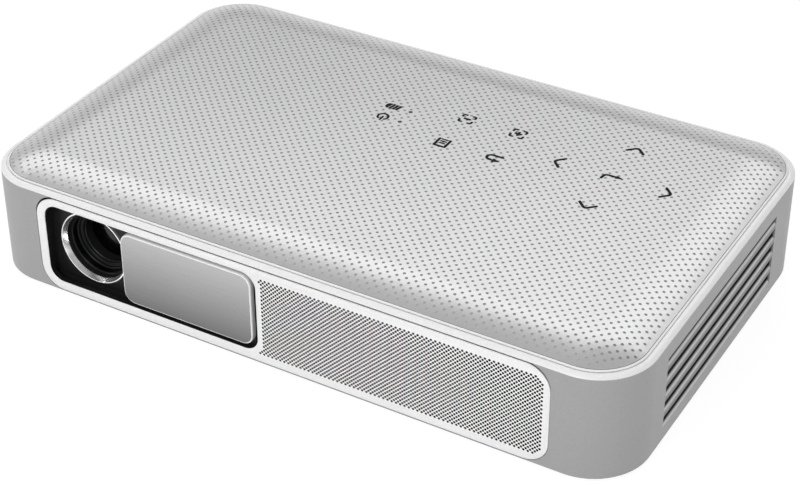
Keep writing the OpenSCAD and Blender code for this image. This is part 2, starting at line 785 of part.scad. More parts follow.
module fan_rotor(y) {
  x0 = fan_x0 + 1.7;
  x1 = fan_x1 - 0.4;
  tip = fan_hole_r - 0.4;
  color("black") translate([0, y, fan_z]) rotate([0, 90, 0]) {
    difference() {
      translate([0, 0, x0]) cylinder(r = hub_r, h = x1 - x0, $fn = 64);
      translate([0, 0, x0 - 1]) cylinder(r = hub_r - 1, h = x1 - x0, $fn = 64);
    }
    translate([0, 0, fan_x0 + 1]) cylinder(r = 1, h = x1 - fan_x0 - 1.5, $fn = 48);
    intersection() {
      for (k = [0 : fan_blades - 1]) rotate(k * 360 / fan_blades) translate([0, 0, (x0 + x1) / 2])
        rotate([38, 0, 0]) translate([hub_r - 0.6, -3.2, -0.4]) cube([tip, 6.4, 0.8]);
      difference() {
        translate([0, 0, x0]) cylinder(r = tip, h = x1 - x0, $fn = 96);
        translate([0, 0, x0 - 1]) cylinder(r = hub_r - 0.5, h = x1 - x0 + 2, $fn = 64);
      }
    }
  }
}

// ---- Electronics ----

module battery_pack() {
  gap = 0.6;
  half = (battery_w - gap) / 2;
  color("steelblue") {
    for (k = [0, 1]) plate_x(battery_x0, battery_x0 + battery_l)
      translate([battery_y1 - battery_w + k * (half + gap), 0]) rrect(0, z_floor, half, z_floor + battery_h, 4);
    box(battery_x0 + 2, battery_y1 - half - gap - 3, z_floor + battery_h - 6, battery_x0 + battery_l - 2,
      battery_y1 - half + 3, z_floor + battery_h - 5.2);
  }
}

module main_board() {
  color("darkgreen") difference() {
    intersection() {
      box(board_x0, board_y0, board_z, board_x1, board_y1, board_top);
      plate_z(board_z, board_top) footprint(wall_t + 0.4);
    }
    for (p = board_holes) translate([p[0], p[1], board_z - 1]) cylinder(r = 1.3, h = 4, $fn = 32);
    at_corners() translate([0, 0, board_z - 1]) cylinder(r = post_r + 0.6, h = 4, $fn = 48);
  }
}

// Memory chips, capacitors, coils and a connector
module board_parts() {
  chip = [10, 14, 1.2];
  chip_step = 15;
  chip_in = 12;
  can_r = 3;
  can_step = 9;
  can_in = 14;
  coil = 9;
  coil_step = 11;
  coil_in = 40;
  plug = [24, 6, 3];
  color("dimgray") {
    for (k = [0 : 3]) translate([board_x0 + chip_in + k * chip_step, board_y0 + chip_in, board_top]) cube(chip);
    for (k = [0 : 5]) translate([board_x1 - can_in, board_y0 + chip_in + k * can_step, board_top])
      cylinder(r = can_r, h = 6.5, $fn = 32);
    for (k = [0 : 3]) translate([board_x1 - coil_in, board_y0 + coil - 1 + k * coil_step, board_top])
      cube([coil, coil, 4]);
    translate([board_x0 + 10, board_y1 - 44, board_top]) cube(plug);
  }
}

// Pressed tin lid over the processor, with a field of vent holes
module processor_shield() {
  w = 34;
  d = 30;
  h = 3;
  sheet = 0.3;
  hole_in = 3.5;
  nx = 6;
  ny = 5;
  x0 = board_x0 + 44;
  y0 = board_y1 - 52;
  color("lightgray") difference() {
    box(x0, y0, board_top, x0 + w, y0 + d, board_top + h);
    box(x0 + sheet, y0 + sheet, board_top - 1, x0 + w - sheet, y0 + d - sheet, board_top + h - sheet);
    for (i = [0 : nx], k = [0 : ny])
      translate([x0 + hole_in + i * (w - 2 * hole_in) / nx, y0 + hole_in + k * (d - 2 * hole_in) / ny, 0])
        translate([0, 0, board_top]) cylinder(r = 0.8, h = h + 1, $fn = 16);
  }
}

module touch_board() {
  color("darkgreen")
    box(touch_x0, touch_y0, z_top - cover_t - touch_t, touch_x1, touch_y1, z_top - cover_t);
}

module speaker_box(x) {
  half = speaker_w / 2;
  color("black") difference() {
    plate_y(panel_back, panel_back + speaker_l) rrect(x - half, z_floor, x + half, z_floor + speaker_h, 3);
    rod_y(x, lens_z, cone_r, panel_back - 1, panel_back + speaker_l - speaker_wall);
  }
}

module speaker_cone(x) {
  y = panel_back;
  r = cone_r - 0.1;
  coil_r = 4.2;
  color("gray") turned(x) polygon([
    [0, y + 5.4], [3, y + 4.8], [3.4, y + 5.2], [r - 3.3, y + 2.6], [r - 2.5, y + 1.8], [r - 1.5, y + 1.5],
    [r - 0.7, y + 2.2], [r, y + 2.2], [r, y + 3.4], [r - 3.1, y + 3.4], [coil_r, y + 6.2],
    [coil_r, y + speaker_l - speaker_wall], [0, y + speaker_l - speaker_wall]
  ]);
}

module dc_jack() {
  z = board_top + 4.2;
  color("black") difference() {
    union() {
      box(socket_x[0] - 4.5, y_in - 13, board_top, socket_x[0] + 4.5, y_in - 0.4, board_top + 8.4);
      rod_y(socket_x[0], z, 4, y_in - 1, y_out - sunk);
    }
    difference() {
      rod_y(socket_x[0], z, 3, y_in - 9, y_out + 1);
      rod_y(socket_x[0], z, 1, y_in - 10, y_in);
    }
  }
}

// Metal shell with a tongue, open at the rear wall
module shell_socket(x, z0, z1, half, depth, tongue_z, tongue_h, tongue_half) {
  wall = 0.4;
  y0 = y_out - sunk - depth;
  tab = half - 2;
  color("lightgray") {
    plate_y(y0, y_out - sunk) difference() {
      rrect(x - half, z0, x + half, z1, 0.4);
      rrect(x - half + wall, z0 + wall, x + half - wall, z1 - wall, 0.3);
    }
    box(x - half + 0.2, y0, z0 + 0.2, x + half - 0.2, y0 + 1, z1 - 0.2);
    box(x - tongue_half, y0 + 0.8, tongue_z, x + tongue_half, y_out - 1.6, tongue_z + tongue_h);
    for (k = [-1, 1]) box(x + k * tab - 0.5, y0 + 2.3, board_top, x + k * tab + 0.5, y0 + 4.3, z0 + 0.2);
  }
}

module hdmi_socket() {
  shell_socket(socket_x[1], board_top + 0.4, board_top + 6, hdmi_half, 12, board_top + 2.6, 0.9, 5.4);
}

module usb_socket() {
  shell_socket(socket_x[2], board_top + 0.6, board_top + 6.3, usb_half, 14, board_top + 4, 1.2, 5.4);
}

module audio_jack() {
  z = board_top + 3.2;
  color("black") difference() {
    union() {
      box(socket_x[3] - 3.4, y_in - 12, board_top, socket_x[3] + 3.4, y_in - 0.4, board_top + 6.4);
      rod_y(socket_x[3], z, 3, y_in - 1, y_out - sunk);
    }
    rod_y(socket_x[3], z, 1.8, y_in - 11, y_out + 1);
  }
}

module card_socket() {
  x = socket_x[4];
  half = card_half;
  tab = half - 2;
  y0 = y_out - sunk - 24;
  color("lightgray") {
    plate_y(y0, y_out - sunk) difference() {
      rrect(x - half, board_top + 0.3, x + half, board_top + 2.9, 0.3);
      rrect(x - half + 0.8, board_top + 0.7, x + half - 0.8, board_top + 2.5, 0.2);
    }
    box(x - half + 0.4, y0, board_top + 0.5, x + half - 0.4, y0 + 1, board_top + 2.7);
    for (k = [-1, 1]) box(x + k * tab - 0.6, y0 + 4.3, board_top, x + k * tab + 0.6, y0 + 7.3, board_top + 0.4);
  }
}

module ir_window() {
  color("black") plate_y(y_in - 1.2, y_out - 0.1) ir_outline(0);
}

// ---- Underside ----

module rubber_feet() {
  color("black") at_feet() rotate_extrude($fn = 64)
    polygon([[0, 0], [foot_r - 0.5, 0], [foot_r, 0.5], [foot_r, z_base + 0.6], [0, z_base + 0.6]]);
}

module tripod_insert() {
  color("gold") translate([0, tripod_y, z_base]) rotate_extrude($fn = 64) polygon([
    [tripod_r, 0], [6.5, 0], [6.5, 1], [5, 1], [5, tripod_l], [tripod_r, tripod_l]
  ]);
}

module case_screws() {
  color("dimgray") at_corners() difference() {
    union() {
      translate([0, 0, z_base + 0.5]) cylinder(r = 2.7, h = 1.9, $fn = 48);
      translate([0, 0, z_base + 2]) cylinder(r = 1.4, h = 12, $fn = 48);
    }
    for (a = [0, 90]) rotate(a) translate([-1.6, -0.3, z_base]) cube([3.2, 0.6, 1.4]);
  }
}

housing();
rim_ring();
top_cover();
front_panel();
speaker_grille();
grille_backing();
lens_cover();
cover_carriage();
cover_rails();
lens_shroud();
lens_ring();
lens_tube();
lens_barrel();
front_lens();
rear_lens();
focus_ring();
focus_pinion();
focus_motor();
engine_block();
engine_lid();
prism();
imager_board();
led_module(led_y[0], "firebrick");  // led_red
led_module(led_y[1], "seagreen");  // led_green
led_module(led_y[2], "royalblue");  // led_blue
heat_sink();
fan_frame(fan_y[0]);  // fan_frame_front
fan_rotor(fan_y[0]);  // fan_rotor_front
fan_frame(fan_y[1]);  // fan_frame_rear
fan_rotor(fan_y[1]);  // fan_rotor_rear
battery_pack();
main_board();
board_parts();
processor_shield();
touch_board();
light_pipes();
speaker_box(speaker_x[0]);  // speaker_box_left
speaker_box(speaker_x[1]);  // speaker_box_right
speaker_cone(speaker_x[0]);  // speaker_cone_left
speaker_cone(speaker_x[1]);  // speaker_cone_right
dc_jack();
hdmi_socket();
usb_socket();
audio_jack();
card_socket();
ir_window();
rubber_feet();
tripod_insert();
case_screws();
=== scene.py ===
import json
import math

import bmesh
import bpy
from mathutils import Matrix, Vector
from mathutils.geometry import delaunay_2d_cdt

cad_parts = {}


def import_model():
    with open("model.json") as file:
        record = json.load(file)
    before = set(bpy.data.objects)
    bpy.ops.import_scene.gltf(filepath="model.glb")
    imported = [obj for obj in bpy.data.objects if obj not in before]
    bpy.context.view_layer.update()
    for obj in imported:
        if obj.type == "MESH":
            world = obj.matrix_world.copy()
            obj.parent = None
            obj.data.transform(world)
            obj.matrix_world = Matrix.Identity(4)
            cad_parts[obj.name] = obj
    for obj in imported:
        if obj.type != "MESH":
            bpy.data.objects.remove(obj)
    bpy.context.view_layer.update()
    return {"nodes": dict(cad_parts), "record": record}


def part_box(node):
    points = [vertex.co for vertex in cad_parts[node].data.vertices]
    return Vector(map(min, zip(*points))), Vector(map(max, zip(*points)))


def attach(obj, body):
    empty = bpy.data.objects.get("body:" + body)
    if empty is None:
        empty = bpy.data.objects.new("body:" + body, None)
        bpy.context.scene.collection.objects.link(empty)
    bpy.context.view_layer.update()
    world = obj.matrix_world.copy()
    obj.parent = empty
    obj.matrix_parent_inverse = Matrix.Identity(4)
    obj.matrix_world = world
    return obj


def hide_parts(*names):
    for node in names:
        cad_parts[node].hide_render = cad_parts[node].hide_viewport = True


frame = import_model()
nodes = frame["nodes"]

# Lengths are in millimetres, and Blender's own unit is the metre. Only the studio is written in metres.
MM = 0.001

# ---- Node trees ----


def empty_tree(owner):
    """The node tree of a world or material, with nothing in it."""
    owner.use_nodes = True
    owner.node_tree.nodes.clear()
    return owner.node_tree


def feed(tree, socket, value):
    """Sets an input to a number or colour, or links it to another node's output."""
    if isinstance(value, bpy.types.NodeSocket):
        tree.links.new(value, socket)
    else:
        socket.default_value = value


def add_node(tree, kind, **inputs):
    """Adds a node whose inputs are given by name, with _ for a space."""
    node = tree.nodes.new(kind)
    for name, value in inputs.items():
        feed(tree, node.inputs[name.replace("_", " ")], value)
    return node


def add_math(tree, operation, *values):
    """Adds a Math node and returns its output."""
    node = tree.nodes.new("ShaderNodeMath")
    node.operation = operation
    for socket, value in zip(node.inputs, values):
        feed(tree, socket, value)
    return node.outputs[0]


# ---- Camera, fitted to the photograph ----

VIEW_AZIMUTH = 30.503
VIEW_ELEVATION = 32.830
VIEW_ROLL = -0.335
CAMERA_AT = Vector((273.391, -468.137, 377.405))
SENSOR_W = 36.0
FOCAL = 89.006
NEAREST = 10
PHOTO_W, PHOTO_H = 800, 485
CENTRE_PX, CENTRE_PY = 389.726, 189.851


def placed(name, data):
    """Puts a new object into the scene."""
    obj = bpy.data.objects.new(name, data)
    bpy.context.scene.collection.objects.link(obj)
    return obj


def direction(azimuth, elevation):
    """Points away from the object. Azimuth 0 is the front and 90 the right."""
    a, e = math.radians(azimuth), math.radians(elevation)
    return Vector((math.sin(a) * math.cos(e), -math.cos(a) * math.cos(e), math.sin(e)))


def camera():
    """The photograph's viewing angle, with its centre off the middle of the frame."""
    a, roll = math.radians(VIEW_AZIMUTH), math.radians(VIEW_ROLL)
    back = direction(VIEW_AZIMUTH, VIEW_ELEVATION)
    right = Vector((math.cos(a), math.sin(a), 0))
    up = back.cross(right)
    right, up = right * math.cos(roll) + up * math.sin(roll), up * math.cos(roll) - right * math.sin(roll)
    data = bpy.data.cameras.new("camera")
    data.sensor_width = SENSOR_W
    data.lens = FOCAL
    data.clip_start = NEAREST * MM
    data.shift_x = (PHOTO_W / 2 - CENTRE_PX) / PHOTO_W
    data.shift_y = (CENTRE_PY - PHOTO_H / 2) / PHOTO_W
    obj = placed("camera", data)
    obj.matrix_world = Matrix.Translation(CAMERA_AT * MM) @ Matrix((right, up, back)).transposed().to_4x4()
    bpy.context.scene.camera = obj


# ---- Studio, in metres: soft lamps, a grey world and a pale floor ----

# Azimuth, elevation, distance, size and watts of each lamp
SOFTBOXES = {
    "back_light": (208, 47, 1.3, (1.9, 0.6), 6.2),
    "front_light": (8, 38, 1.4, (0.9, 0.6), 9),
    "left_light": (-38, 18, 1.4, (0.9, 0.4), 0.6),
    "right_light": (138, 24, 1.4, (0.9, 0.4), 0.6),
}
WORLD_LIGHT = 0.35
SWEEP_FROM, SWEEP_TO = 0.1, 0.35
FLOOR_HALF = 3.0
FLOOR_GLOW = 1.12
GLOW_SHARE = 0.8
WHITE = (1, 1, 1, 1)
PAPER = (0.9, 0.9, 0.9, 1)


def softbox(name, azimuth, elevation, distance, size, watts):
    """A rectangular lamp that looks at the object."""
    away = direction(azimuth, elevation)
    data = bpy.data.lights.new(name, "AREA")
    data.shape = "RECTANGLE"
    data.size, data.size_y = size
    data.energy = watts
    obj = placed(name, data)
    obj.location = away * distance
    obj.rotation_euler = away.to_track_quat("Z", "Y").to_euler()


def looked_at(tree, in_mirrors=1.0):
    """1 for what the camera sees, and in_mirrors for what metal and glass show of it."""
    path = add_node(tree, "ShaderNodeLightPath").outputs
    mirrored = add_math(tree, "MAXIMUM", path["Is Glossy Ray"], path["Is Transmission Ray"])
    return add_math(tree, "MAXIMUM", path["Is Camera Ray"], add_math(tree, "MULTIPLY", mirrored, in_mirrors))


def show(tree, output, factor, plain, seen):
    """Shows one shader, or another where the factor is 1."""
    mix = add_node(tree, "ShaderNodeMixShader", Fac=factor)
    tree.links.new(plain.outputs[0], mix.inputs[1])
    tree.links.new(seen.outputs[0], mix.inputs[2])
    add_node(tree, output, Surface=mix.outputs[0])


def world():
    """Soft grey light. The camera sees white, and mirrors a white sweep that ends above the horizon."""
    studio = bpy.data.worlds.new("studio")
    tree = empty_tree(studio)
    place = add_node(tree, "ShaderNodeTexCoord").outputs["Generated"]
    height = add_node(tree, "ShaderNodeSeparateXYZ", Vector=place).outputs["Z"]
    sweep = add_node(tree, "ShaderNodeMapRange", Value=height, From_Min=SWEEP_FROM, From_Max=SWEEP_TO,
                     To_Min=1.0, To_Max=0.0).outputs["Result"]
    lit = add_node(tree, "ShaderNodeBackground", Color=WHITE, Strength=WORLD_LIGHT)
    seen = add_node(tree, "ShaderNodeBackground", Color=WHITE, Strength=1.0)
    show(tree, "ShaderNodeOutputWorld", looked_at(tree, sweep), lit, seen)
    bpy.context.scene.world = studio


def floor():
    """Pale paper that keeps the object's shadow, and glows white where it is looked at."""
    mat = bpy.data.materials.new("floor")
    tree = empty_tree(mat)
    paper = add_node(tree, "ShaderNodeBsdfDiffuse", Color=PAPER)
    glow = add_node(tree, "ShaderNodeEmission", Strength=FLOOR_GLOW)
    share = add_math(tree, "MULTIPLY", looked_at(tree), GLOW_SHARE)
    show(tree, "ShaderNodeOutputMaterial", share, paper, glow)
    corners = [(x * FLOOR_HALF, y * FLOOR_HALF, 0) for x, y in ((-1, -1), (1, -1), (1, 1), (-1, 1))]
    mesh = bpy.data.meshes.new("floor")
    mesh.from_pydata(corners, [], [(0, 1, 2, 3)])
    mesh.materials.append(mat)
    placed("floor", mesh)


bpy.context.scene.view_settings.view_transform = "Standard"
camera()
world()
for lamp_name, lamp in SOFTBOXES.items():
    softbox(lamp_name, *lamp)
floor()

# ---- Sizes, from the frame ----


def span(node):
    """Lowest and highest corner of a CAD node."""
    low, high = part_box(node)
    return Vector(low) / MM, Vector(high) / MM


CASE_LOW, CASE_HIGH = span("housing")
LID_LOW, LID_HIGH = span("top_cover")
PANEL_LOW, PANEL_HIGH = span("front_panel")
PLATE_LOW, PLATE_HIGH = span("lens_cover")
BEZEL_LOW, BEZEL_HIGH = span("lens_ring")
CELL_LOW, CELL_HIGH = span("lens_barrel")
GLASS_LOW, GLASS_HIGH = span("front_lens")
PILOT_LOW, PILOT_HIGH = span("light_pipes")

# The case, its rounded corners, and the crease where its walls meet the rim
CASE_X, CASE_Y = CASE_HIGH.x, CASE_HIGH.y
FRONT_Y = CASE_LOW.y
CORNER_R = 19.0
CREASE_Z = CASE_HIGH.z

# The top cover rolls down towards its border, and the keys' print lies on its flat
LID_EDGE = CASE_X - LID_HIGH.x
PRINT_T = 0.03
LID_TOP = LID_HIGH.z - PRINT_T
ROLL_W = 15.5
ROLL_RISE = 3.2
ROLL_R = (ROLL_W ** 2 + ROLL_RISE ** 2) / (2 * ROLL_RISE)

# The bars between the slots of the side vents
BAR_PITCH, BAR_H = 5.6, 3.6
BARS_Y, BARS_Z = -1.15, (CASE_LOW.z + CREASE_Z) / 2 + 0.1
BARS_HALF_Y, BARS_HALF_Z = 42.4, 12.3

# The axis of the lens, which runs along y
LENS_X, LENS_Z = (GLASS_LOW.x + GLASS_HIGH.x) / 2, (GLASS_LOW.z + GLASS_HIGH.z) / 2

# ---- Materials ----

GRAIN_ROUGHNESS = 0.6
TONE_SPREAD = (0.3, 0.7)
LINE_STRETCH = 60.0
NEAR_BLACK = (0.012, 0.012, 0.013)

# Depth in the case's side walls, and rise over its floor, over which its paint gives way to black
PAINT_DEPTH = (0.35, 0.85)
FLOOR_RISE = (2.6, 2.8)


class Surface:
    """A Principled material whose colour, roughness and relief are drawn by nodes."""

    def __init__(self, name, colour, roughness, metallic=0.0):
        self.mat = bpy.data.materials.new(name)
        self.mat.use_nodes = True
        self.tree = self.mat.node_tree
        self.shader = self.tree.nodes["Principled BSDF"]
        self.coordinates = self.tree.nodes.new("ShaderNodeTexCoord").outputs
        self.colour = colour
        self.roughness = roughness
        self.set(Base_Color=(*colour, 1), Roughness=roughness, Metallic=metallic)

    def set(self, **inputs):
        """Feeds the shader's own sockets."""
        for name, value in inputs.items():
            feed(self.tree, self.shader.inputs[name.replace("_", " ")], value)
        return self

    def node(self, kind, **inputs):
        return add_node(self.tree, kind, **inputs)

    def math(self, operation, *values):
        return add_math(self.tree, operation, *values)

    def product(self, first, *others):
        for other in others:
            first = self.math("MULTIPLY", first, other)
        return first

    def axes(self, kind="Object"):
        """x, y and z of a place on the part, in metres, or of the way it faces for kind Normal."""
        return self.node("ShaderNodeSeparateXYZ", Vector=self.coordinates[kind]).outputs

    def ramp(self, value, start, stop, unit=MM):
        """0 at start and 1 at stop."""
        ramp = self.node("ShaderNodeMapRange", Value=value, From_Min=start * unit, From_Max=stop * unit)
        return ramp.outputs["Result"]

    def within(self, value, middle, half, soft):
        """1 near the middle and 0 beyond half, with a soft edge inside it."""
        away = self.math("ABSOLUTE", self.math("SUBTRACT", value, middle * MM))
        return self.ramp(away, half, half - soft)

    def noise(self, size, detail=3.0, stretch=(1, 1, 1)):
        """Noise from 0 to 1 whose grains are about size across."""
        mapping = self.node("ShaderNodeMapping", Vector=self.coordinates["Object"],
                            Scale=[1 / (size * MM * s) for s in stretch])
        return self.node("ShaderNodeTexNoise", Vector=mapping.outputs[0], Scale=1.0, Detail=detail,
                         Roughness=GRAIN_ROUGHNESS).outputs["Fac"]

    def tone(self, factor, low, high):
        """Makes the colour low to high times as bright as the factor crosses its middle range."""
        ramp = self.node("ShaderNodeValToRGB", Fac=factor)
        for element, position, share in zip(ramp.color_ramp.elements, TONE_SPREAD, (low, high)):
            element.position = position
            element.color = (*[c * share for c in self.colour], 1)
        return self.set(Base_Color=ramp.outputs["Color"])

    def uneven(self, factor, spread):
        """Lets the roughness vary by spread about its own value."""
        return self.set(Roughness=self.math("MULTIPLY_ADD", factor, spread, self.roughness - spread / 2))

    def bump(self, height, depth):
        """Relief of about depth."""
        relief = self.node("ShaderNodeBump", Height=height, Strength=1.0, Distance=depth * MM)
        return self.set(Normal=relief.outputs["Normal"])

    def mixed(self, factor, colour):
        """Goes over to another colour as the factor goes from 0 to 1."""
        drawn = self.shader.inputs["Base Color"].links[0].from_socket
        mix = self.node("ShaderNodeMix", Factor=factor)
        mix.data_type = "RGBA"
        first, second = (socket for socket in mix.inputs if socket.type == "RGBA")
        feed(self.tree, first, drawn)
        feed(self.tree, second, (*colour, 1))
        return self.set(Base_Color=next(socket for socket in mix.outputs if socket.type == "RGBA"))


def painted(name, colour, roughness, metallic=0.0, grain=0.6, depth=0.006):
    """Sprayed or moulded surface: fine grain, faint mottling and a slightly uneven sheen."""
    s = Surface(name, colour, roughness, metallic)
    s.tone(s.noise(grain, 2.0), 0.96, 1.04)
    s.uneven(s.noise(20.0), 0.08)
    return s.bump(s.noise(grain * 0.6, 2.0), depth)


def brushed(name, colour, along, roughness=0.34):
    """Metal with fine lines along one axis."""
    stretch = [LINE_STRETCH if axis == along else 1.0 for axis in "xyz"]
    s = Surface(name, colour, roughness, 1.0)
    s.tone(s.noise(0.22, 4.0, stretch), 0.9, 1.08)
    s.uneven(s.noise(0.4, 3.0, stretch), 0.16)
    return s.bump(s.noise(0.22, 4.0, stretch), 0.008)


def machined(name, colour, roughness, metallic=1.0):
    """Smooth turned or plated metal."""
    s = Surface(name, colour, roughness, metallic)
    s.tone(s.noise(6.0), 0.95, 1.05)
    return s.uneven(s.noise(5.0, 2.0), 0.05)


def optical(name, colour, ior=1.6):
    """Polished glass."""
    s = Surface(name, colour, 0.02)
    s.set(Transmission_Weight=1.0, IOR=ior)
    return s.uneven(s.noise(3.0), 0.02)


def case_paint():
    """Silver outside, black inside. The vents' bars get a painted highlight on their upper edge and painted
    shade below it.
    """
    s = painted("case_silver", (0.385, 0.385, 0.388), 0.42, 0.2)
    x, y, z = s.axes()
    faces_up = s.ramp(s.axes("Normal")["Z"], 0.25, 0.65, unit=1)
    depth = s.math("SUBTRACT", CASE_X * MM, s.math("ABSOLUTE", x))
    along = s.within(y, BARS_Y, BARS_HALF_Y, 0.3)
    across = s.within(z, BARS_Z, BARS_HALF_Z, 0.2)
    # Painted highlight: faces turned up just inside the wall, along the vents, go over to a lighter silver.
    painted_highlight = s.product(faces_up, s.ramp(depth, 0.0, 0.05), along)
    bar_foot = BARS_Z + (BAR_PITCH - BAR_H) / 2
    bar_share = s.math("FRACT", s.math("DIVIDE", s.math("SUBTRACT", z, bar_foot * MM), BAR_PITCH * MM))
    # Painted shade: the lower half of each vent bar goes over to black.
    painted_shade_below = s.product(s.ramp(bar_share, 0.54, 0.14, unit=1), along, across, 0.97)
    above_floor = s.ramp(z, *(CASE_LOW.z + rise for rise in FLOOR_RISE))
    inside = s.product(s.ramp(depth, *PAINT_DEPTH), above_floor, s.within(y, 0.0, CASE_Y - CORNER_R, 1.0))
    s.mixed(painted_highlight, (0.85, 0.85, 0.853))
    return s.mixed(s.math("MAXIMUM", painted_shade_below, inside), NEAR_BLACK)


def slide_metal():
    """Brushed plate, with a painted reflection that makes it darker towards its bottom."""
    s = brushed("slide_brushed", (0.53, 0.53, 0.535), "x", 0.3)
    # Painted reflection: the colour darkens from the plate's top down to its bottom.
    return s.mixed(s.ramp(s.axes()["Z"], PLATE_HIGH.z, PLATE_LOW.z), (0.18, 0.18, 0.184))


def dimple_paint(fade_from=13.0, fade_to=3.0, share=0.78):
    """Grey of the dimples, which goes over to a paler one near the front, back and left edges. The paler grey
    is painted light: it stands in for the dimples fading where the cover's highlight falls off.
    """
    s = painted("cover_dimple", (0.24, 0.24, 0.242), 0.5, 0.2)
    x, y, _ = s.axes()
    # Painted light: the dimples pale towards the front, back and left edges.
    sides = s.ramp(s.math("ABSOLUTE", y), CASE_Y - fade_from, CASE_Y - fade_to)
    left = s.ramp(x, fade_from - CASE_X, fade_to - CASE_X)
    return s.mixed(s.product(s.math("MAXIMUM", sides, left), share), (0.58, 0.58, 0.583))


CASE = case_paint()
RIM = painted("rim_pearl", (0.95, 0.95, 0.95), 0.25)
COVER = painted("cover_pearl", (0.63, 0.63, 0.633), 0.29, 0.5)
DOT = dimple_paint()
INK = painted("key_ink", (0.006, 0.006, 0.007), 0.5).set(Specular_IOR_Level=0.1)
FRONT = painted("front_silver", (0.94, 0.94, 0.94), 0.3, 0.05)
SLIDE = slide_metal()
# White paint on the lens cover's edges is a painted highlight.
SLIDE_PAINTED_HIGHLIGHT = painted("slide_edge_painted_highlight", (0.92, 0.92, 0.92), 0.35, 0.1)
CHROME = machined("bezel_chrome", (0.95, 0.95, 0.95), 0.15, 0.85)
BLACK = painted("black_moulding", NEAR_BLACK, 0.38).set(Specular_IOR_Level=0.2)
BACKING = painted("speaker_backing", (0.01, 0.01, 0.011), 0.8)
TUBE = machined("tube_anodised", (0.03, 0.03, 0.032), 0.35)
LENS = optical("front_lens_coated", (0.04, 0.043, 0.06), 1.42)
GLASS = optical("coated_glass", (0.62, 0.68, 0.9))
GUIDE = painted("light_guide", (0.07, 0.07, 0.072), 0.25)
INFRARED = painted("infrared_window", (0.02, 0.004, 0.006), 0.12)
NYLON = painted("nylon", (0.72, 0.7, 0.62), 0.5)
BRASS = machined("brass", (0.8, 0.6, 0.28), 0.28)
STEEL = machined("steel", (0.6, 0.6, 0.6), 0.3)
SCREW = machined("screw_black", (0.08, 0.08, 0.085), 0.35)
CAST = painted("cast_alloy", (0.35, 0.355, 0.36), 0.5, 0.8, 0.9, 0.02)
SHEET = brushed("sheet_alloy", (0.6, 0.6, 0.61), "y")
MASK = painted("solder_mask", (0.015, 0.12, 0.05), 0.3)
RED = painted("lamp_red", (0.5, 0.04, 0.03), 0.3)
GREEN = painted("lamp_green", (0.03, 0.35, 0.08), 0.3)
BLUE = painted("lamp_blue", (0.03, 0.08, 0.5), 0.3)
SLEEVE = painted("battery_sleeve", (0.03, 0.1, 0.25), 0.25)
CONE = painted("cone_paper", (0.06, 0.06, 0.06), 0.8, 0.0, 0.4, 0.03)
RUBBER = painted("foot_rubber", (0.025, 0.025, 0.026), 0.75, 0.0, 0.5, 0.04)

SLOT_LOOKS = {
    "case_silver": CASE, "rim_bright": RIM, "cover_pearl": COVER, "front_silver": FRONT,
    "backing_black": BACKING, "slide_brushed": SLIDE, "black_matte": BLACK, "lens_chrome": CHROME,
    "tube_black": TUBE, "lens_glass": GLASS, "prism_glass": GLASS, "gear_nylon": NYLON,
    "gear_brass": BRASS, "motor_steel": STEEL, "engine_cast": CAST, "engine_plate": SHEET,
    "board_green": MASK, "led_red": RED, "led_green": GREEN, "led_blue": BLUE,
    "sink_aluminium": SHEET, "fan_black": BLACK, "battery_sleeve": SLEEVE, "chip_black": BLACK,
    "shield_tin": SHEET, "light_guide": GUIDE, "speaker_black": BLACK, "cone_paper": CONE,
    "socket_steel": STEEL, "window_dark": INFRARED, "foot_rubber": RUBBER, "insert_brass": BRASS,
    "screw_steel": SCREW,
}
for part in frame["record"]["subparts"]:
    shown = nodes[part["node"]]
    shown.data.materials.clear()
    shown.data.materials.append(SLOT_LOOKS[part["material_slot"]].mat)

# ---- Outlines, as lists of points ----


def rounded(x0, z0, x1, z1, r, steps=12):
    """Rounded rectangle, anticlockwise."""
    points = []
    corners = ((x1 - r, z1 - r, 0), (x0 + r, z1 - r, 90), (x0 + r, z0 + r, 180), (x1 - r, z0 + r, 270))
    for cx, cz, start in corners:
        for k in range(steps + 1):
            t = math.radians(start + 90 * k / steps)
            points.append(Vector((cx + r * math.cos(t), cz + r * math.sin(t))))
    return points


def circle(cx, cz, r, steps):
    turns = [2 * math.pi * k / steps for k in range(steps)]
    return [Vector((cx + r * math.cos(t), cz + r * math.sin(t))) for t in turns]


def arc(centre, r, start, stop, steps=12):
    turns = [math.radians(start + (stop - start) * k / steps) for k in range(steps + 1)]
    return [Vector(centre) + Vector((math.cos(t), math.sin(t))) * r for t in turns]


def beyond(p, x0, z0, x1, z1, r):
    """Distance of a point outside a rounded rectangle, negative inside."""
    dx = max(x0 + r - p.x, p.x - x1 + r)
    dz = max(z0 + r - p.y, p.y - z1 + r)
    return math.hypot(max(dx, 0), max(dz, 0)) + min(max(dx, dz), 0) - r


def footprint(inset, steps=24):
    """Outline of the case from above, moved in."""
    return rounded(-CASE_X + inset, -CASE_Y + inset, CASE_X - inset, CASE_Y - inset, CORNER_R - inset, steps)


def closed_loops(loops):
    """Points and edges of closed outlines, and the index each one starts at."""
    points, edges, firsts = [], [], []
    for loop in loops:
        firsts.append(len(points))
        points += loop
        edges += [(firsts[-1] + k, firsts[-1] + (k + 1) % len(loop)) for k in range(len(loop))]
    return points, edges, firsts


# ---- Solids ----

# How far in, and down, a quarter round of radius 1 has come when it is halfway round
HALF_ROUND = 0.29


def flat(u, v, w):
    """Drawn on the top: u to the right, v to the back, w up."""
    return Vector((u, v, w))


def upright(u, v, w):
    """Drawn on the front: u to the right, v up, w forwards."""
    return Vector((u, -w, v))


def bridge(bm, lower, upper):
    """Faces between two rings of vertices."""
    n = len(lower)
    return [bm.faces.new((lower[k], lower[(k + 1) % n], upper[(k + 1) % n], upper[k])) for k in range(n)]


def ring_of(bm, points, w, place):
    return [bm.verts.new(place(p.x, p.y, w)) for p in points]


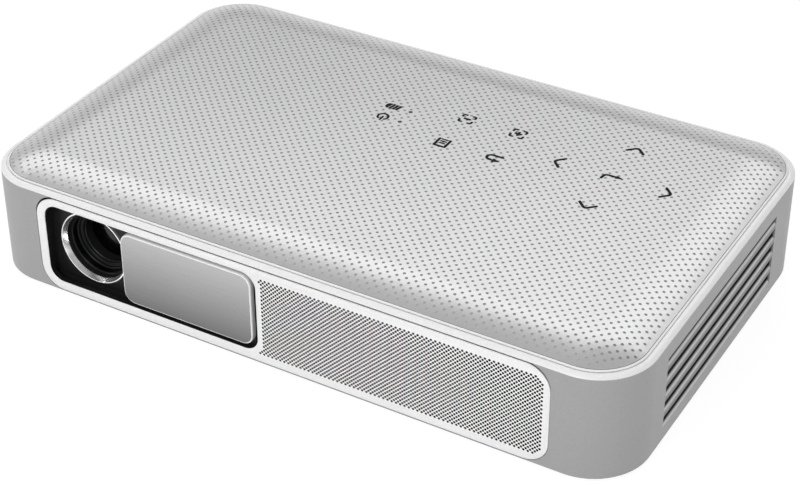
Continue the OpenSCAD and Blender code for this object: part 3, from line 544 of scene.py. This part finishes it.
def stacked(bm, rings, place):
    """Solid through (outline, w) rings with equal point counts."""
    made = [ring_of(bm, points, w, place) for points, w in rings]
    for lower, upper in zip(made, made[1:]):
        bridge(bm, lower, upper)
    bm.faces.new(list(reversed(made[0])))
    bm.faces.new(made[-1])
    bmesh.ops.recalc_face_normals(bm, faces=bm.faces)


def band(bm, rings, place):
    """Closed band through (outline, w) rings with equal point counts. Returns its faces."""
    made = [ring_of(bm, points, w, place) for points, w in rings]
    return [face for lower, upper in zip(made, made[1:] + made[:1]) for face in bridge(bm, lower, upper)]


def turned(bm, profile, steps=96, closed=True):
    """Turns (radius, y) points about the lens's axis. A radius of 0 makes a pole."""
    rows = []
    for r, y in profile:
        spots = circle(LENS_X, LENS_Z, r, steps) if r > 0 else [Vector((LENS_X, LENS_Z))]
        rows.append([bm.verts.new((p.x, y, p.y)) for p in spots])
    pairs = list(zip(rows, rows[1:])) + ([(rows[-1], rows[0])] if closed else [])
    for a, b in pairs:
        for k in range(steps):
            loop = [a[k % len(a)], a[(k + 1) % len(a)], b[(k + 1) % len(b)], b[k % len(b)]]
            unique = [v for i, v in enumerate(loop) if v not in loop[:i]]
            if len(unique) > 2:
                bm.faces.new(unique)
    bmesh.ops.recalc_face_normals(bm, faces=bm.faces)


def finished(name, bm, body, looks, sharp):
    """Makes a piece of a bmesh, smooth except over edges between two looks or sharper than the angle."""
    bmesh.ops.scale(bm, vec=(MM, MM, MM), verts=bm.verts)
    limit = math.radians(sharp)
    for face in bm.faces:
        face.smooth = True
    for edge in bm.edges:
        one_look = len({face.material_index for face in edge.link_faces}) == 1
        edge.smooth = one_look and len(edge.link_faces) == 2 and edge.calc_face_angle(0) < limit
    mesh = bpy.data.meshes.new(name)
    bm.to_mesh(mesh)
    bm.free()
    for surface in looks:
        mesh.materials.append(surface.mat)
    obj = placed(name, mesh)
    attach(obj, body)
    return obj


# ---- Top cover: a rolled shell with staggered dimples ----

DOT_PITCH_X = 3.23
DOT_PITCH_Y = 3.194
DOT_START = (1.90, -0.74)
DOT_R = 0.5
DOT_DEPTH = 0.07
DOT_STEPS = 10
DOT_TO_LINE = 0.25
DOT_TO_PILOT = 1.0
LID_FILLET = 0.15
SHELF_W = 1.4
SHELF_RISE = 0.05
BORDER_W = 0.4
LINE_W = 0.14
LINE_DEPTH = 0.1
LINE_SLOPE = 0.02
LINE_IN = LID_EDGE + LID_FILLET + BORDER_W + LINE_W
PIPE_R = (PILOT_HIGH.x - PILOT_LOW.x) / 2
PILOT_R = PIPE_R + 0.18
PILOT_X = PILOT_LOW.x + PIPE_R
PILOT_DEPTH = 0.8
PILOT_STEPS = 20
PILOTS = [Vector((PILOT_X, PILOT_LOW.y + PIPE_R)), Vector((PILOT_X, PILOT_HIGH.y - PIPE_R))]

# The shell's materials, by their place in its list. The edge fillet takes the rim's bright paint, a painted
# highlight.
ON_COVER, ON_DOT, ON_BLACK, ON_PAINTED_HIGHLIGHT = range(4)


def edge_distance(x, y):
    """How far inside the outline of the case a point lies, seen from above."""
    dx, dy = CASE_X - abs(x), CASE_Y - abs(y)
    if dx < CORNER_R and dy < CORNER_R:
        return CORNER_R - math.hypot(CORNER_R - dx, CORNER_R - dy)
    return min(dx, dy)


def rolled_height(x, y):
    """Height of the top cover's surface over a point."""
    run = max(0.0, LID_EDGE + ROLL_W - edge_distance(x, y))
    return LID_TOP - ROLL_R + math.sqrt(ROLL_R ** 2 - run ** 2)


def dot_centres():
    reach_x = int(2 * CASE_X / DOT_PITCH_X) + 2
    reach_y = int(2 * CASE_Y / DOT_PITCH_Y) + 2
    for i in range(-reach_x, reach_x):
        for j in range(-reach_y, reach_y):
            p = Vector((DOT_START[0] + i * DOT_PITCH_X / 2, DOT_START[1] + j * DOT_PITCH_Y / 2))
            if (i + j) % 2 == 0 and edge_distance(p.x, p.y) > LINE_IN + DOT_R + DOT_TO_LINE:
                if all((p - pilot).length > DOT_R + DOT_TO_PILOT for pilot in PILOTS):
                    yield p


def top_surface(bm):
    """Dimpled surface inside the border's line, with holes for the pilot lamps. Returns its outer ring."""
    rim_points = footprint(LINE_IN)
    pilot_rings = [circle(pilot.x, pilot.y, PILOT_R, PILOT_STEPS) for pilot in PILOTS]
    spots = list(dot_centres())
    loops = [rim_points] + pilot_rings + [circle(p.x, p.y, DOT_R, DOT_STEPS) for p in spots]
    points, edges, firsts = closed_loops(loops)
    middles = range(len(points), len(points) + len(spots))
    flat_points, _, faces, _, _, _ = delaunay_2d_cdt(points + spots, edges, [], 1, 1e-6, False)
    verts = [bm.verts.new((p.x, p.y, rolled_height(p.x, p.y) - (DOT_DEPTH if k in middles else 0.0)))
             for k, p in enumerate(flat_points)]
    holes = [set(range(firsts[k], firsts[k + 1])) for k in (1, 2)]
    for face in faces:
        if not any(hole.issuperset(face) for hole in holes):
            made = bm.faces.new([verts[k] for k in face])
            made.material_index = ON_DOT if any(k in middles for k in face) else ON_COVER
    for first, ring in zip(firsts[1:], pilot_rings):
        sunk = ring_of(bm, ring, LID_TOP - PILOT_DEPTH, flat)
        for face in bridge(bm, verts[first:first + len(ring)], sunk):
            face.material_index = ON_BLACK
    return verts[:len(rim_points)]


def border_profile():
    """(inset, height, look) from the border's line out to the cover's edge and under it."""
    edge_in = LID_EDGE + LID_FILLET
    edge_z = rolled_height(CASE_X - edge_in, 0)
    line_z = rolled_height(CASE_X - LINE_IN + LINE_W / 2, 0)
    shelf_z = LID_LOW.z + SHELF_RISE
    line_out = LINE_IN - LINE_W
    # The cover's edge fillet gets the rim's bright paint as a painted highlight.
    profile = [(LINE_IN - LINE_SLOPE, line_z - LINE_DEPTH, ON_BLACK),
               (line_out + LINE_SLOPE, line_z - LINE_DEPTH, ON_BLACK),
               (line_out, line_z, ON_BLACK), (edge_in, edge_z, ON_PAINTED_HIGHLIGHT)]
    for t in (math.radians(v) for v in (30, 60, 90)):
        profile.append((edge_in - LID_FILLET * math.sin(t), edge_z - LID_FILLET * (1 - math.cos(t)), ON_PAINTED_HIGHLIGHT))
    return profile + [(LID_EDGE, shelf_z, ON_COVER), (LID_EDGE + SHELF_W, shelf_z, ON_COVER)]


def top_shell():
    bm = bmesh.new()
    last = top_surface(bm)
    bm.normal_update()
    bm.faces.ensure_lookup_table()
    if bm.faces[0].normal.z < 0:
        bmesh.ops.reverse_faces(bm, faces=bm.faces)
    for inset, height, look in border_profile():
        ring = ring_of(bm, footprint(inset), height, flat)
        for face in bridge(bm, last, ring):
            face.material_index = look
        last = ring
    obj = finished("top_shell", bm, "case", (COVER, DOT, BLACK, RIM), 12)
    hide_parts("top_cover")


# ---- Rim: a swept band between the case and the top cover ----

RIM_W = 2.0
RIM_RISE = 1.0
RIM_TOP = CREASE_Z + RIM_RISE
RIM_R = 3.0
RIM_STEPS = 12
RIM_EASE = 0.12
RIM_INSIDE = 1.1
RIM_GAP = 0.02
SEAT_DROP = 0.3
SEAT_GAP = 0.03
FLANGE_W = 2.6
FLANGE_T = 0.9


def rim_sweep():
    """Bulged outer face of the rim, as (inset, height) points."""
    chord = math.hypot(RIM_W, RIM_RISE)
    off = math.sqrt(RIM_R ** 2 - chord ** 2 / 4)
    centre = Vector((RIM_W / 2 + off * RIM_RISE / chord, CREASE_Z + RIM_RISE / 2 - off * RIM_W / chord))
    start = math.atan2(CREASE_Z + RIM_GAP - centre.y, -centre.x)
    stop = math.atan2(RIM_TOP - RIM_EASE - centre.y, RIM_W - RIM_EASE - centre.x)
    return arc(centre, RIM_R, math.degrees(start), math.degrees(stop), RIM_STEPS)


def rim_band():
    step_z = RIM_TOP - SEAT_DROP
    flange_top = LID_LOW.z + SEAT_GAP
    flange_in, lid_in = RIM_W + FLANGE_W, LID_EDGE - RIM_GAP
    profile = [(p.x, p.y) for p in rim_sweep()]
    profile += [(RIM_W - RIM_GAP, RIM_TOP - RIM_EASE - RIM_GAP), (RIM_W, step_z), (lid_in, step_z),
                (lid_in, flange_top), (flange_in, flange_top), (flange_in, flange_top - FLANGE_T),
                (RIM_INSIDE, flange_top - FLANGE_T), (RIM_INSIDE, CREASE_Z + RIM_GAP)]
    bm = bmesh.new()
    band(bm, [(footprint(inset), height) for inset, height in profile], flat)
    bmesh.ops.recalc_face_normals(bm, faces=bm.faces)
    obj = finished("rim_band", bm, "case", (RIM,), 28)
    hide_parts("rim_ring")


# ---- Front: panel with a bevelled window and the full hole pattern ----

PANEL_HALF = CASE_X - CORNER_R - 4.6
PANEL_R = 8.0
PANEL_Z0, PANEL_Z1 = PANEL_LOW.z, PANEL_HIGH.z - 0.65
FRAME_W = 3.2
WINDOW = (FRAME_W - PANEL_HALF, PANEL_Z0 + FRAME_W, PLATE_HIGH.x + 1.9, PANEL_HIGH.z - FRAME_W - 0.1)
WINDOW_R = 5.0

# Rolled edges, as (inset or widening, drop) steps down to the outline itself
PANEL_BEVEL = 0.22
PANEL_ROLL = ((PANEL_BEVEL * HALF_ROUND, PANEL_BEVEL * HALF_ROUND), (0, PANEL_BEVEL))
WINDOW_BEVEL = 0.2
WINDOW_ROLL = ((WINDOW_BEVEL * 0.45, WINDOW_BEVEL * 0.3), (0, WINDOW_BEVEL))
SHEET_T = 0.7
COLLAR_BACK = 1.9
COLLAR_GAP, COLLAR_OUT = 0.02, 0.8

# The field of holes reaches round the window's corners, so its outline starts inside the window
HOLE_PITCH = 1.463
HOLE_R = 0.432
HOLE_STEPS = 8
FIELD_FRAME = Vector((2.56, 3.35))
FIELD = (WINDOW[2] - 3.05, PANEL_Z0 + FIELD_FRAME.y, PANEL_HALF - FIELD_FRAME.x, PANEL_Z1 - FIELD_FRAME.y)
FIELD_R = 2.5
FIELD_SLACK = 0.05
HOLES_FROM_WINDOW = 2.2

# Three short upright grooves in the frame, under the field's right end
MARK_W = 0.16
MARK_DEPTH = 0.12
MARK_PITCH = 1.5
MARKS_X = [PANEL_HALF - 15.5 + MARK_PITCH * k for k in range(3)]
MARKS_Z = (PANEL_Z0 + 0.25, FIELD[1] - 0.5)


def panel_outline(inset):
    half = PANEL_HALF - inset
    return rounded(-half, PANEL_Z0 + inset, half, PANEL_Z1 - inset, PANEL_R - inset)


def window_outline(out):
    x0, z0, x1, z1 = WINDOW
    return rounded(x0 - out, z0 - out, x1 + out, z1 + out, WINDOW_R + out)


def hole_centres():
    """Staggered points from the field's lower right corner, kept clear of the window."""
    half = HOLE_PITCH / 2
    x0, z0, x1, z1 = FIELD
    for i in range(int((x1 - x0) / half) + 1):
        for j in range(round((z1 - z0) / half) + 1):
            p = Vector((x1 - i * half, z0 + j * half))
            inside = beyond(p, *FIELD, FIELD_R) < FIELD_SLACK
            if (i + j) % 2 == 1 and inside and beyond(p, *WINDOW, WINDOW_R) >= HOLES_FROM_WINDOW:
                yield p


def mark_outlines():
    low, high = MARKS_Z
    corners = [Vector(corner) for corner in ((0, low), (MARK_W, low), (MARK_W, high), (0, high))]
    return [[Vector((x - MARK_W / 2, 0)) + corner for corner in corners] for x in MARKS_X]


def perforated_sheet(bm, opened, marks):
    """Front and back of the sheet. The first opened outline is its own, the others are cut through it, and
    the marks from its front alone. Returns each outline's front and back ring, and the faces of the back."""
    loops = opened + marks
    points, edges, firsts = closed_loops(loops)
    flat_points, _, faces, _, _, _ = delaunay_2d_cdt(points, edges, [], 1, 1e-6, False)
    front = ring_of(bm, flat_points, -FRONT_Y, upright)
    back = ring_of(bm, flat_points, -FRONT_Y - SHEET_T, upright)
    owner = [index for index, loop in enumerate(loops) for _ in loop]
    bevelled_window = [side + out * WINDOW_BEVEL for side, out in zip(WINDOW, (-1, -1, 1, 1))]
    black = []
    for face in faces:
        owners = {owner[k] for k in face}
        index = owners.pop() if len(owners) == 1 else 0
        centre = sum((flat_points[k] for k in face), Vector((0, 0))) / len(face)
        in_window = beyond(centre, *bevelled_window, WINDOW_R + WINDOW_BEVEL) < 0
        if in_window or 1 < index < len(opened):
            continue
        if index < len(opened):
            bm.faces.new([front[k] for k in face])
        black.append(bm.faces.new([back[k] for k in reversed(face)]))
    spans = [slice(first, first + len(loop)) for first, loop in zip(firsts, loops)]
    return [(front[span_of], back[span_of]) for span_of in spans], black


def rolled_edge(bm, ring, outline, steps):
    """Carries a ring on through (offset, drop) steps of an outline, and returns the last ring."""
    for offset, drop in steps:
        further = ring_of(bm, outline(offset), -FRONT_Y - drop, upright)
        bridge(bm, ring, further)
        ring = further
    return ring


def collar(bm):
    """Black wall that carries the window on behind the sheet."""
    inside, outside = window_outline(COLLAR_GAP), window_outline(COLLAR_OUT)
    near, deep = -FRONT_Y - SHEET_T, -FRONT_Y - COLLAR_BACK
    return band(bm, [(inside, near), (inside, deep), (outside, deep), (outside, near)], upright)


def keeps_paint(place):
    """True for the window's top and right walls, which have the panel's paint. The others are black, as
    painted shade.
    """
    x0, z0, x1, z1 = WINDOW
    return place.z > z1 - WINDOW_R or place.x > (x0 + x1) / 2 and place.z > z0 + WINDOW_R


def front_face():
    bm = bmesh.new()
    holes = [circle(p.x, p.y, HOLE_R, HOLE_STEPS) for p in hole_centres()]
    marks = mark_outlines()
    opened = [panel_outline(PANEL_BEVEL), window_outline(WINDOW_BEVEL)] + holes
    rings, black = perforated_sheet(bm, opened, marks)
    panel, window, *hole_rings = rings[:len(opened)]
    for front, back in hole_rings:
        black += bridge(bm, front, back)
    for (front, _), mark in zip(rings[len(opened):], marks):
        sunk = ring_of(bm, mark, -FRONT_Y - MARK_DEPTH, upright)
        bridge(bm, front, sunk)
        bm.faces.new(sunk)
    bridge(bm, rolled_edge(bm, panel[0], panel_outline, PANEL_ROLL), panel[1])
    window_wall = bridge(bm, rolled_edge(bm, window[0], window_outline, WINDOW_ROLL), window[1])
    # The window's bottom and left walls are painted black as shade. The collar behind them is black as well.
    black += [face for face in window_wall if not keeps_paint(face.calc_center_median())] + collar(bm)
    for face in black:
        face.material_index = 1
    bmesh.ops.recalc_face_normals(bm, faces=bm.faces)
    obj = finished("front_face", bm, "case", (FRONT, BLACK), 30)
    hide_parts("front_panel", "speaker_grille")


# ---- Lens cover, and the screen behind its carriage ----

PLATE_R = 4.0
PLATE_EDGE = 0.5
SCREEN_R = 2.0
SCREEN_GAP = 0.1
SCREEN_REACH = 0.6
SCREEN_BACK = 0.2
SCREEN_T = 0.5
SCREEN_EDGE = 0.1
SCREEN_LIP = 1.2
SCREEN_SINK = 0.3


def sheet_outline(low, high, r, steps=12):
    """Rounded rectangle between two corners of the part, as a function of how far it is moved in."""
    def outline(inset):
        return rounded(low.x + inset, low.z + inset, high.x - inset, high.z - inset, r - inset, steps)
    return outline


def slide_plate():
    outline = sheet_outline(PLATE_LOW, PLATE_HIGH, PLATE_R, 16)
    front_w, back_w = -PLATE_LOW.y, -PLATE_HIGH.y
    eased = PLATE_EDGE * HALF_ROUND
    bm = bmesh.new()
    stacked(bm, [(outline(0), back_w), (outline(0), front_w - PLATE_EDGE), (outline(eased), front_w - eased),
                 (outline(PLATE_EDGE), front_w)], upright)
    # The plate's front is brushed metal. Its edges take white paint as a painted highlight.
    for face in bm.faces:
        face.material_index = 0 if face.normal.y < -0.99 else 1
    obj = finished("slide_plate", bm, "lens_slide", (SLIDE, SLIDE_PAINTED_HIGHLIGHT), 20)
    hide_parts("lens_cover")


def window_screen():
    """Black pressed sheet behind the cover's carriage, so that no light shows beside the lens."""
    rails_low, rails_high = span("cover_rails")
    _, shroud_high = span("lens_shroud")
    low = Vector((shroud_high.x + SCREEN_GAP, 0, rails_low.z))
    high = Vector((rails_high.x + SCREEN_REACH, 0, rails_high.z))
    outline = sheet_outline(low, high, SCREEN_R)
    front_w = -rails_high.y - SCREEN_BACK
    bm = bmesh.new()
    edge = [(outline(0), front_w - SCREEN_T), (outline(0), front_w - SCREEN_EDGE)]
    rim = [(outline(SCREEN_EDGE), front_w), (outline(SCREEN_LIP), front_w)]
    sunk = [(outline(SCREEN_LIP + SCREEN_SINK), front_w - SCREEN_SINK)]
    stacked(bm, edge + rim + sunk, upright)
    obj = finished("window_screen", bm, "case", (BLACK,), 30)


# ---- Lens ring, lens cell and glass, turned from (radius, y) profiles ----

BEZEL_R = 12.98
BEZEL_WALL = 0.5
FLANGE_OUT = 1.3
FLANGE_BACK = 1.1
FLANGE_THICK = 1.0
THROAT_R = 11.5
CONE_FOOT = THROAT_R + 0.2
CONE_DEPTH = 1.7
CONE_LIP = 0.05
CELL_WALL = 0.7
CELL_GROOVE = 1.1
SEAT_W = 0.8
BORE_STEP = 1.4
GLASS_CROWN = 1.6
PIN_R, PIN_L = 0.8, 2.0
PIN_BACK = 3.0


def bezel():
    """Polished cone in front of a black throat, with a flange that the panel holds."""
    r, neck, front, back = BEZEL_R, BEZEL_R - BEZEL_WALL, BEZEL_LOW.y, BEZEL_HIGH.y
    cone_y, step = front + CONE_DEPTH, back - FLANGE_BACK
    throat = [(THROAT_R - 0.3, back), (THROAT_R - 0.05, back - 0.35), (THROAT_R, back - 0.6),
              (CONE_FOOT - 0.05, cone_y + 0.1)]
    flare, reach = neck - CONE_FOOT, CONE_LIP - CONE_DEPTH
    cone = [(CONE_FOOT + flare * t, cone_y + reach * t) for t in (0.0, 0.33, 0.67, 1.0)]
    lip = [(r - 0.36, front), (r - 0.2, front), (r - 0.06, front + 0.06), (r, front + 0.2)]
    flange = [(r, step - FLANGE_THICK), (r + FLANGE_OUT, step - FLANGE_THICK), (r + FLANGE_OUT, step),
              (neck, step), (neck, back)]
    bm = bmesh.new()
    turned(bm, throat + cone + lip + flange, 128)
    for face in bm.faces:
        face.material_index = 1 if face.calc_center_median().y > cone_y else 0
    obj = finished("bezel", bm, "case", (CHROME, BLACK), 24)
    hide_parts("lens_ring")


def lens_cell():
    """Black barrel with a groove in its face, a ring round the glass, and the pin that the gear drives."""
    r, y, end = (CELL_HIGH.x - CELL_LOW.x) / 2, CELL_LOW.y, CELL_HIGH.y
    glass_r, seat = (GLASS_HIGH.x - GLASS_LOW.x) / 2, GLASS_HIGH.y
    outside = [(r, end), (r, y + 0.12), (r - 0.12, y), (r - 0.55, y), (r - CELL_WALL, y + 0.15)]
    groove = [(r - CELL_WALL, y + 1.1), (r - CELL_GROOVE, y + 1.3), (r - CELL_GROOVE, y + 0.95),
              (r - CELL_GROOVE - 0.1, y + 0.85)]
    retainer = [(glass_r + 0.55, y + 0.85), (glass_r + 0.45, y + 0.95), (glass_r + 0.45, y + 1.8),
                (glass_r + 0.2, y + 2.1)]
    bore = [(glass_r + 0.2, seat), (glass_r - SEAT_W, seat), (glass_r - SEAT_W, seat + 1.8),
            (glass_r - BORE_STEP, seat + 1.8), (glass_r - BORE_STEP, end)]
    bm = bmesh.new()
    turned(bm, outside + groove + retainer + bore)
    pin = bmesh.ops.create_cone(bm, cap_ends=True, segments=24, radius1=PIN_R, radius2=PIN_R, depth=PIN_L)
    bmesh.ops.translate(bm, verts=pin["verts"], vec=(LENS_X, y + PIN_BACK, CELL_HIGH.z - PIN_L / 2))
    obj = finished("lens_cell_ridged", bm, "lens_cell", (BLACK,), 24)
    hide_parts("lens_barrel")


def front_glass(steps=12):
    """Glass with a crowned front."""
    r = (GLASS_HIGH.x - GLASS_LOW.x) / 2
    ball_r = (r ** 2 + GLASS_CROWN ** 2) / (2 * GLASS_CROWN)
    front, back = GLASS_LOW.y, GLASS_HIGH.y
    profile = [(0, back), (r, back), (r, front + GLASS_CROWN)]
    for k in range(1, steps + 1):
        out = r * (1 - k / steps)
        profile.append((out, front + ball_r - math.sqrt(ball_r ** 2 - out ** 2)))
    bm = bmesh.new()
    turned(bm, profile, closed=False)
    obj = finished("front_glass", bm, "lens_cell", (LENS,), 30)
    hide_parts("front_lens")


# ---- Touch keys, printed on the top cover ----

STROKE = 1.0
BATTERY = Vector((-15.3, 25.0))
POWER = Vector((-15.3, 17.8))
MINUS = Vector((9.85, 30.2))
PLUS = Vector((28.8, 30.2))
MENU = Vector((9.85, 12.9))
RETURN = Vector((27.8, 13.0))
PAD = Vector((66.6, 21.2))


def at(origin, *offsets):
    return [origin + Vector(offset) for offset in offsets]


def capsule(a, b, width, steps=8):
    """Outline of a stroke with round ends."""
    along = (b - a).normalized()
    turn = math.atan2(along.y, along.x)
    points = []
    for centre, start in ((b, turn - math.pi / 2), (a, turn + math.pi / 2)):
        for k in range(steps + 1):
            t = start + math.pi * k / steps
            points.append(centre + Vector((math.cos(t), math.sin(t))) * width / 2)
    return points


def line(points, width=STROKE):
    return [capsule(a, b, width) for a, b in zip(points, points[1:])]


def arrow_head(tip, length, half):
    """Triangle that points to the right."""
    return at(tip, (0, 0), (-length, half), (-length, -half))


def printed(name, shapes):
    """Joins overlapping outlines into one thin layer of ink on the flat of the top cover."""
    points, faces = [], []
    for shape in shapes:
        faces.append(list(range(len(points), len(points) + len(shape))))
        points += shape
    flat_points, _, triangles, _, _, owners = delaunay_2d_cdt(points, [], faces, 3, 1e-5, True)
    bm = bmesh.new()
    verts = ring_of(bm, flat_points, LID_TOP + PRINT_T, flat)
    kept = [bm.faces.new([verts[k] for k in t]) for t, own in zip(triangles, owners) if own]
    bmesh.ops.recalc_face_normals(bm, faces=bm.faces)
    if kept[0].normal.z < 0:
        bmesh.ops.reverse_faces(bm, faces=bm.faces)
    loose = [v for v in bm.verts if not v.link_faces]
    bmesh.ops.delete(bm, geom=loose, context="VERTS")
    out = bmesh.ops.extrude_face_region(bm, geom=bm.faces[:])
    sunk = [v for v in out["geom"] if isinstance(v, bmesh.types.BMVert)]
    bmesh.ops.translate(bm, verts=sunk, vec=(0, 0, -PRINT_T * 1.5))
    bmesh.ops.recalc_face_normals(bm, faces=bm.faces)
    obj = finished(name, bm, "case", (INK,), 30)


def battery_key(lean=0.7, bar_w=1.0, gap=0.24, half=1.6, start=-1.7):
    """Three leaning bars and the rounded end of a battery."""
    round_end = ((-2.3, 1.5), (-3.0, 0.6), (-3.0, -0.6), (-2.5, -1.4))
    end = at(BATTERY, (start, -half), (start + lean, half), *round_end)
    bars = [at(BATTERY, (x, -half), (x + bar_w, -half), (x + bar_w + lean, half), (x + lean, half))
            for x in (start + gap + (bar_w + gap) * k for k in range(3))]
    printed("key_battery", [end] + bars)


def power_key(r=1.8, stem=2.2, width=0.8):
    ring = arc(POWER, r, -52, 232, 24)
    printed("key_power", line(ring, width) + line(at(POWER, (0, 0), (0, -stem)), width))


def corner_marks(centre, half=2.3, arm=1.15, soft=0.55, width=0.86):
    """Four rounded corners of a square."""
    shapes = []
    turns = [math.radians(v) for v in (0, 30, 60, 90)]
    bend = [(half - soft + soft * math.sin(t), half - soft + soft * math.cos(t)) for t in turns]
    corner = [(half - arm, half)] + bend + [(half, half - arm)]
    for sx, sy in ((1, 1), (-1, 1), (-1, -1), (1, -1)):
        shapes += line(at(centre, *[(sx * u, sy * v) for u, v in corner]), width)
    return shapes


def focus_keys(half=0.95):
    """Minus and plus, each between corner marks."""
    printed("key_focus_minus", corner_marks(MINUS) + line(at(MINUS, (-half, 0), (half, 0))))
    printed("key_focus_plus", corner_marks(PLUS) + line(at(PLUS, (-half, 0), (half, 0)))
            + line(at(PLUS, (0, -half), (0, half)), 0.9))


def menu_key():
    """Three rows in a tray that is open at its top."""
    tray = line(at(MENU, (-1.95, 2.2), (-1.95, -2.1), (2.0, -2.1), (2.0, 2.2)), 0.95)
    rows = [shape for v in (2.1, 0.95, -0.2) for shape in line(at(MENU, (-0.85, v), (0.95, v)), 0.72)]
    printed("key_menu", tray + rows)


def return_key(r=1.4):
    """Line that turns back on itself into an arrow."""
    hook = at(RETURN, (3.6, r)) + arc(RETURN, r, 90, 270) + at(RETURN, (2.4, -r))
    printed("key_return", line(hook) + [arrow_head(RETURN + Vector((3.8, -r)), 2.7, 1.25)])


def centre_key(r=1.4):
    """Bent arrow in the middle of the pad."""
    stem = at(PAD, (-3.0, -1.7)) + arc(PAD + Vector((-1.5, -0.6)), r, 180, 90, 8) + at(PAD, (1.6, 0.8))
    printed("key_centre", line(stem) + [arrow_head(PAD + Vector((3.6, 0.8)), 2.7, 0.95)])


def chevron(name, way, tip=19.9, foot=17.5, half=2.85, soft=1.0):
    """Rounded arrow of the pad, pointing away from its centre."""
    out = Vector(way)
    side = Vector((-out.y, out.x))
    centre = PAD + out * (tip - soft)
    bend = [centre + (side * math.cos(t) + out * math.sin(t)) * soft
            for t in (math.radians(v) for v in (45, 67, 90, 113, 135))]
    printed(name, line([PAD + out * foot + side * half] + bend + [PAD + out * foot - side * half]))


def touch_keys():
    battery_key()
    power_key()
    focus_keys()
    menu_key()
    return_key()
    centre_key()
    for name, way in (("left", (-1, 0)), ("right", (1, 0)), ("up", (0, 1)), ("down", (0, -1))):
        chevron("key_" + name, way)


# ---- Making ----

top_shell()
rim_band()
front_face()
slide_plate()
window_screen()
bezel()
lens_cell()
front_glass()
touch_keys()
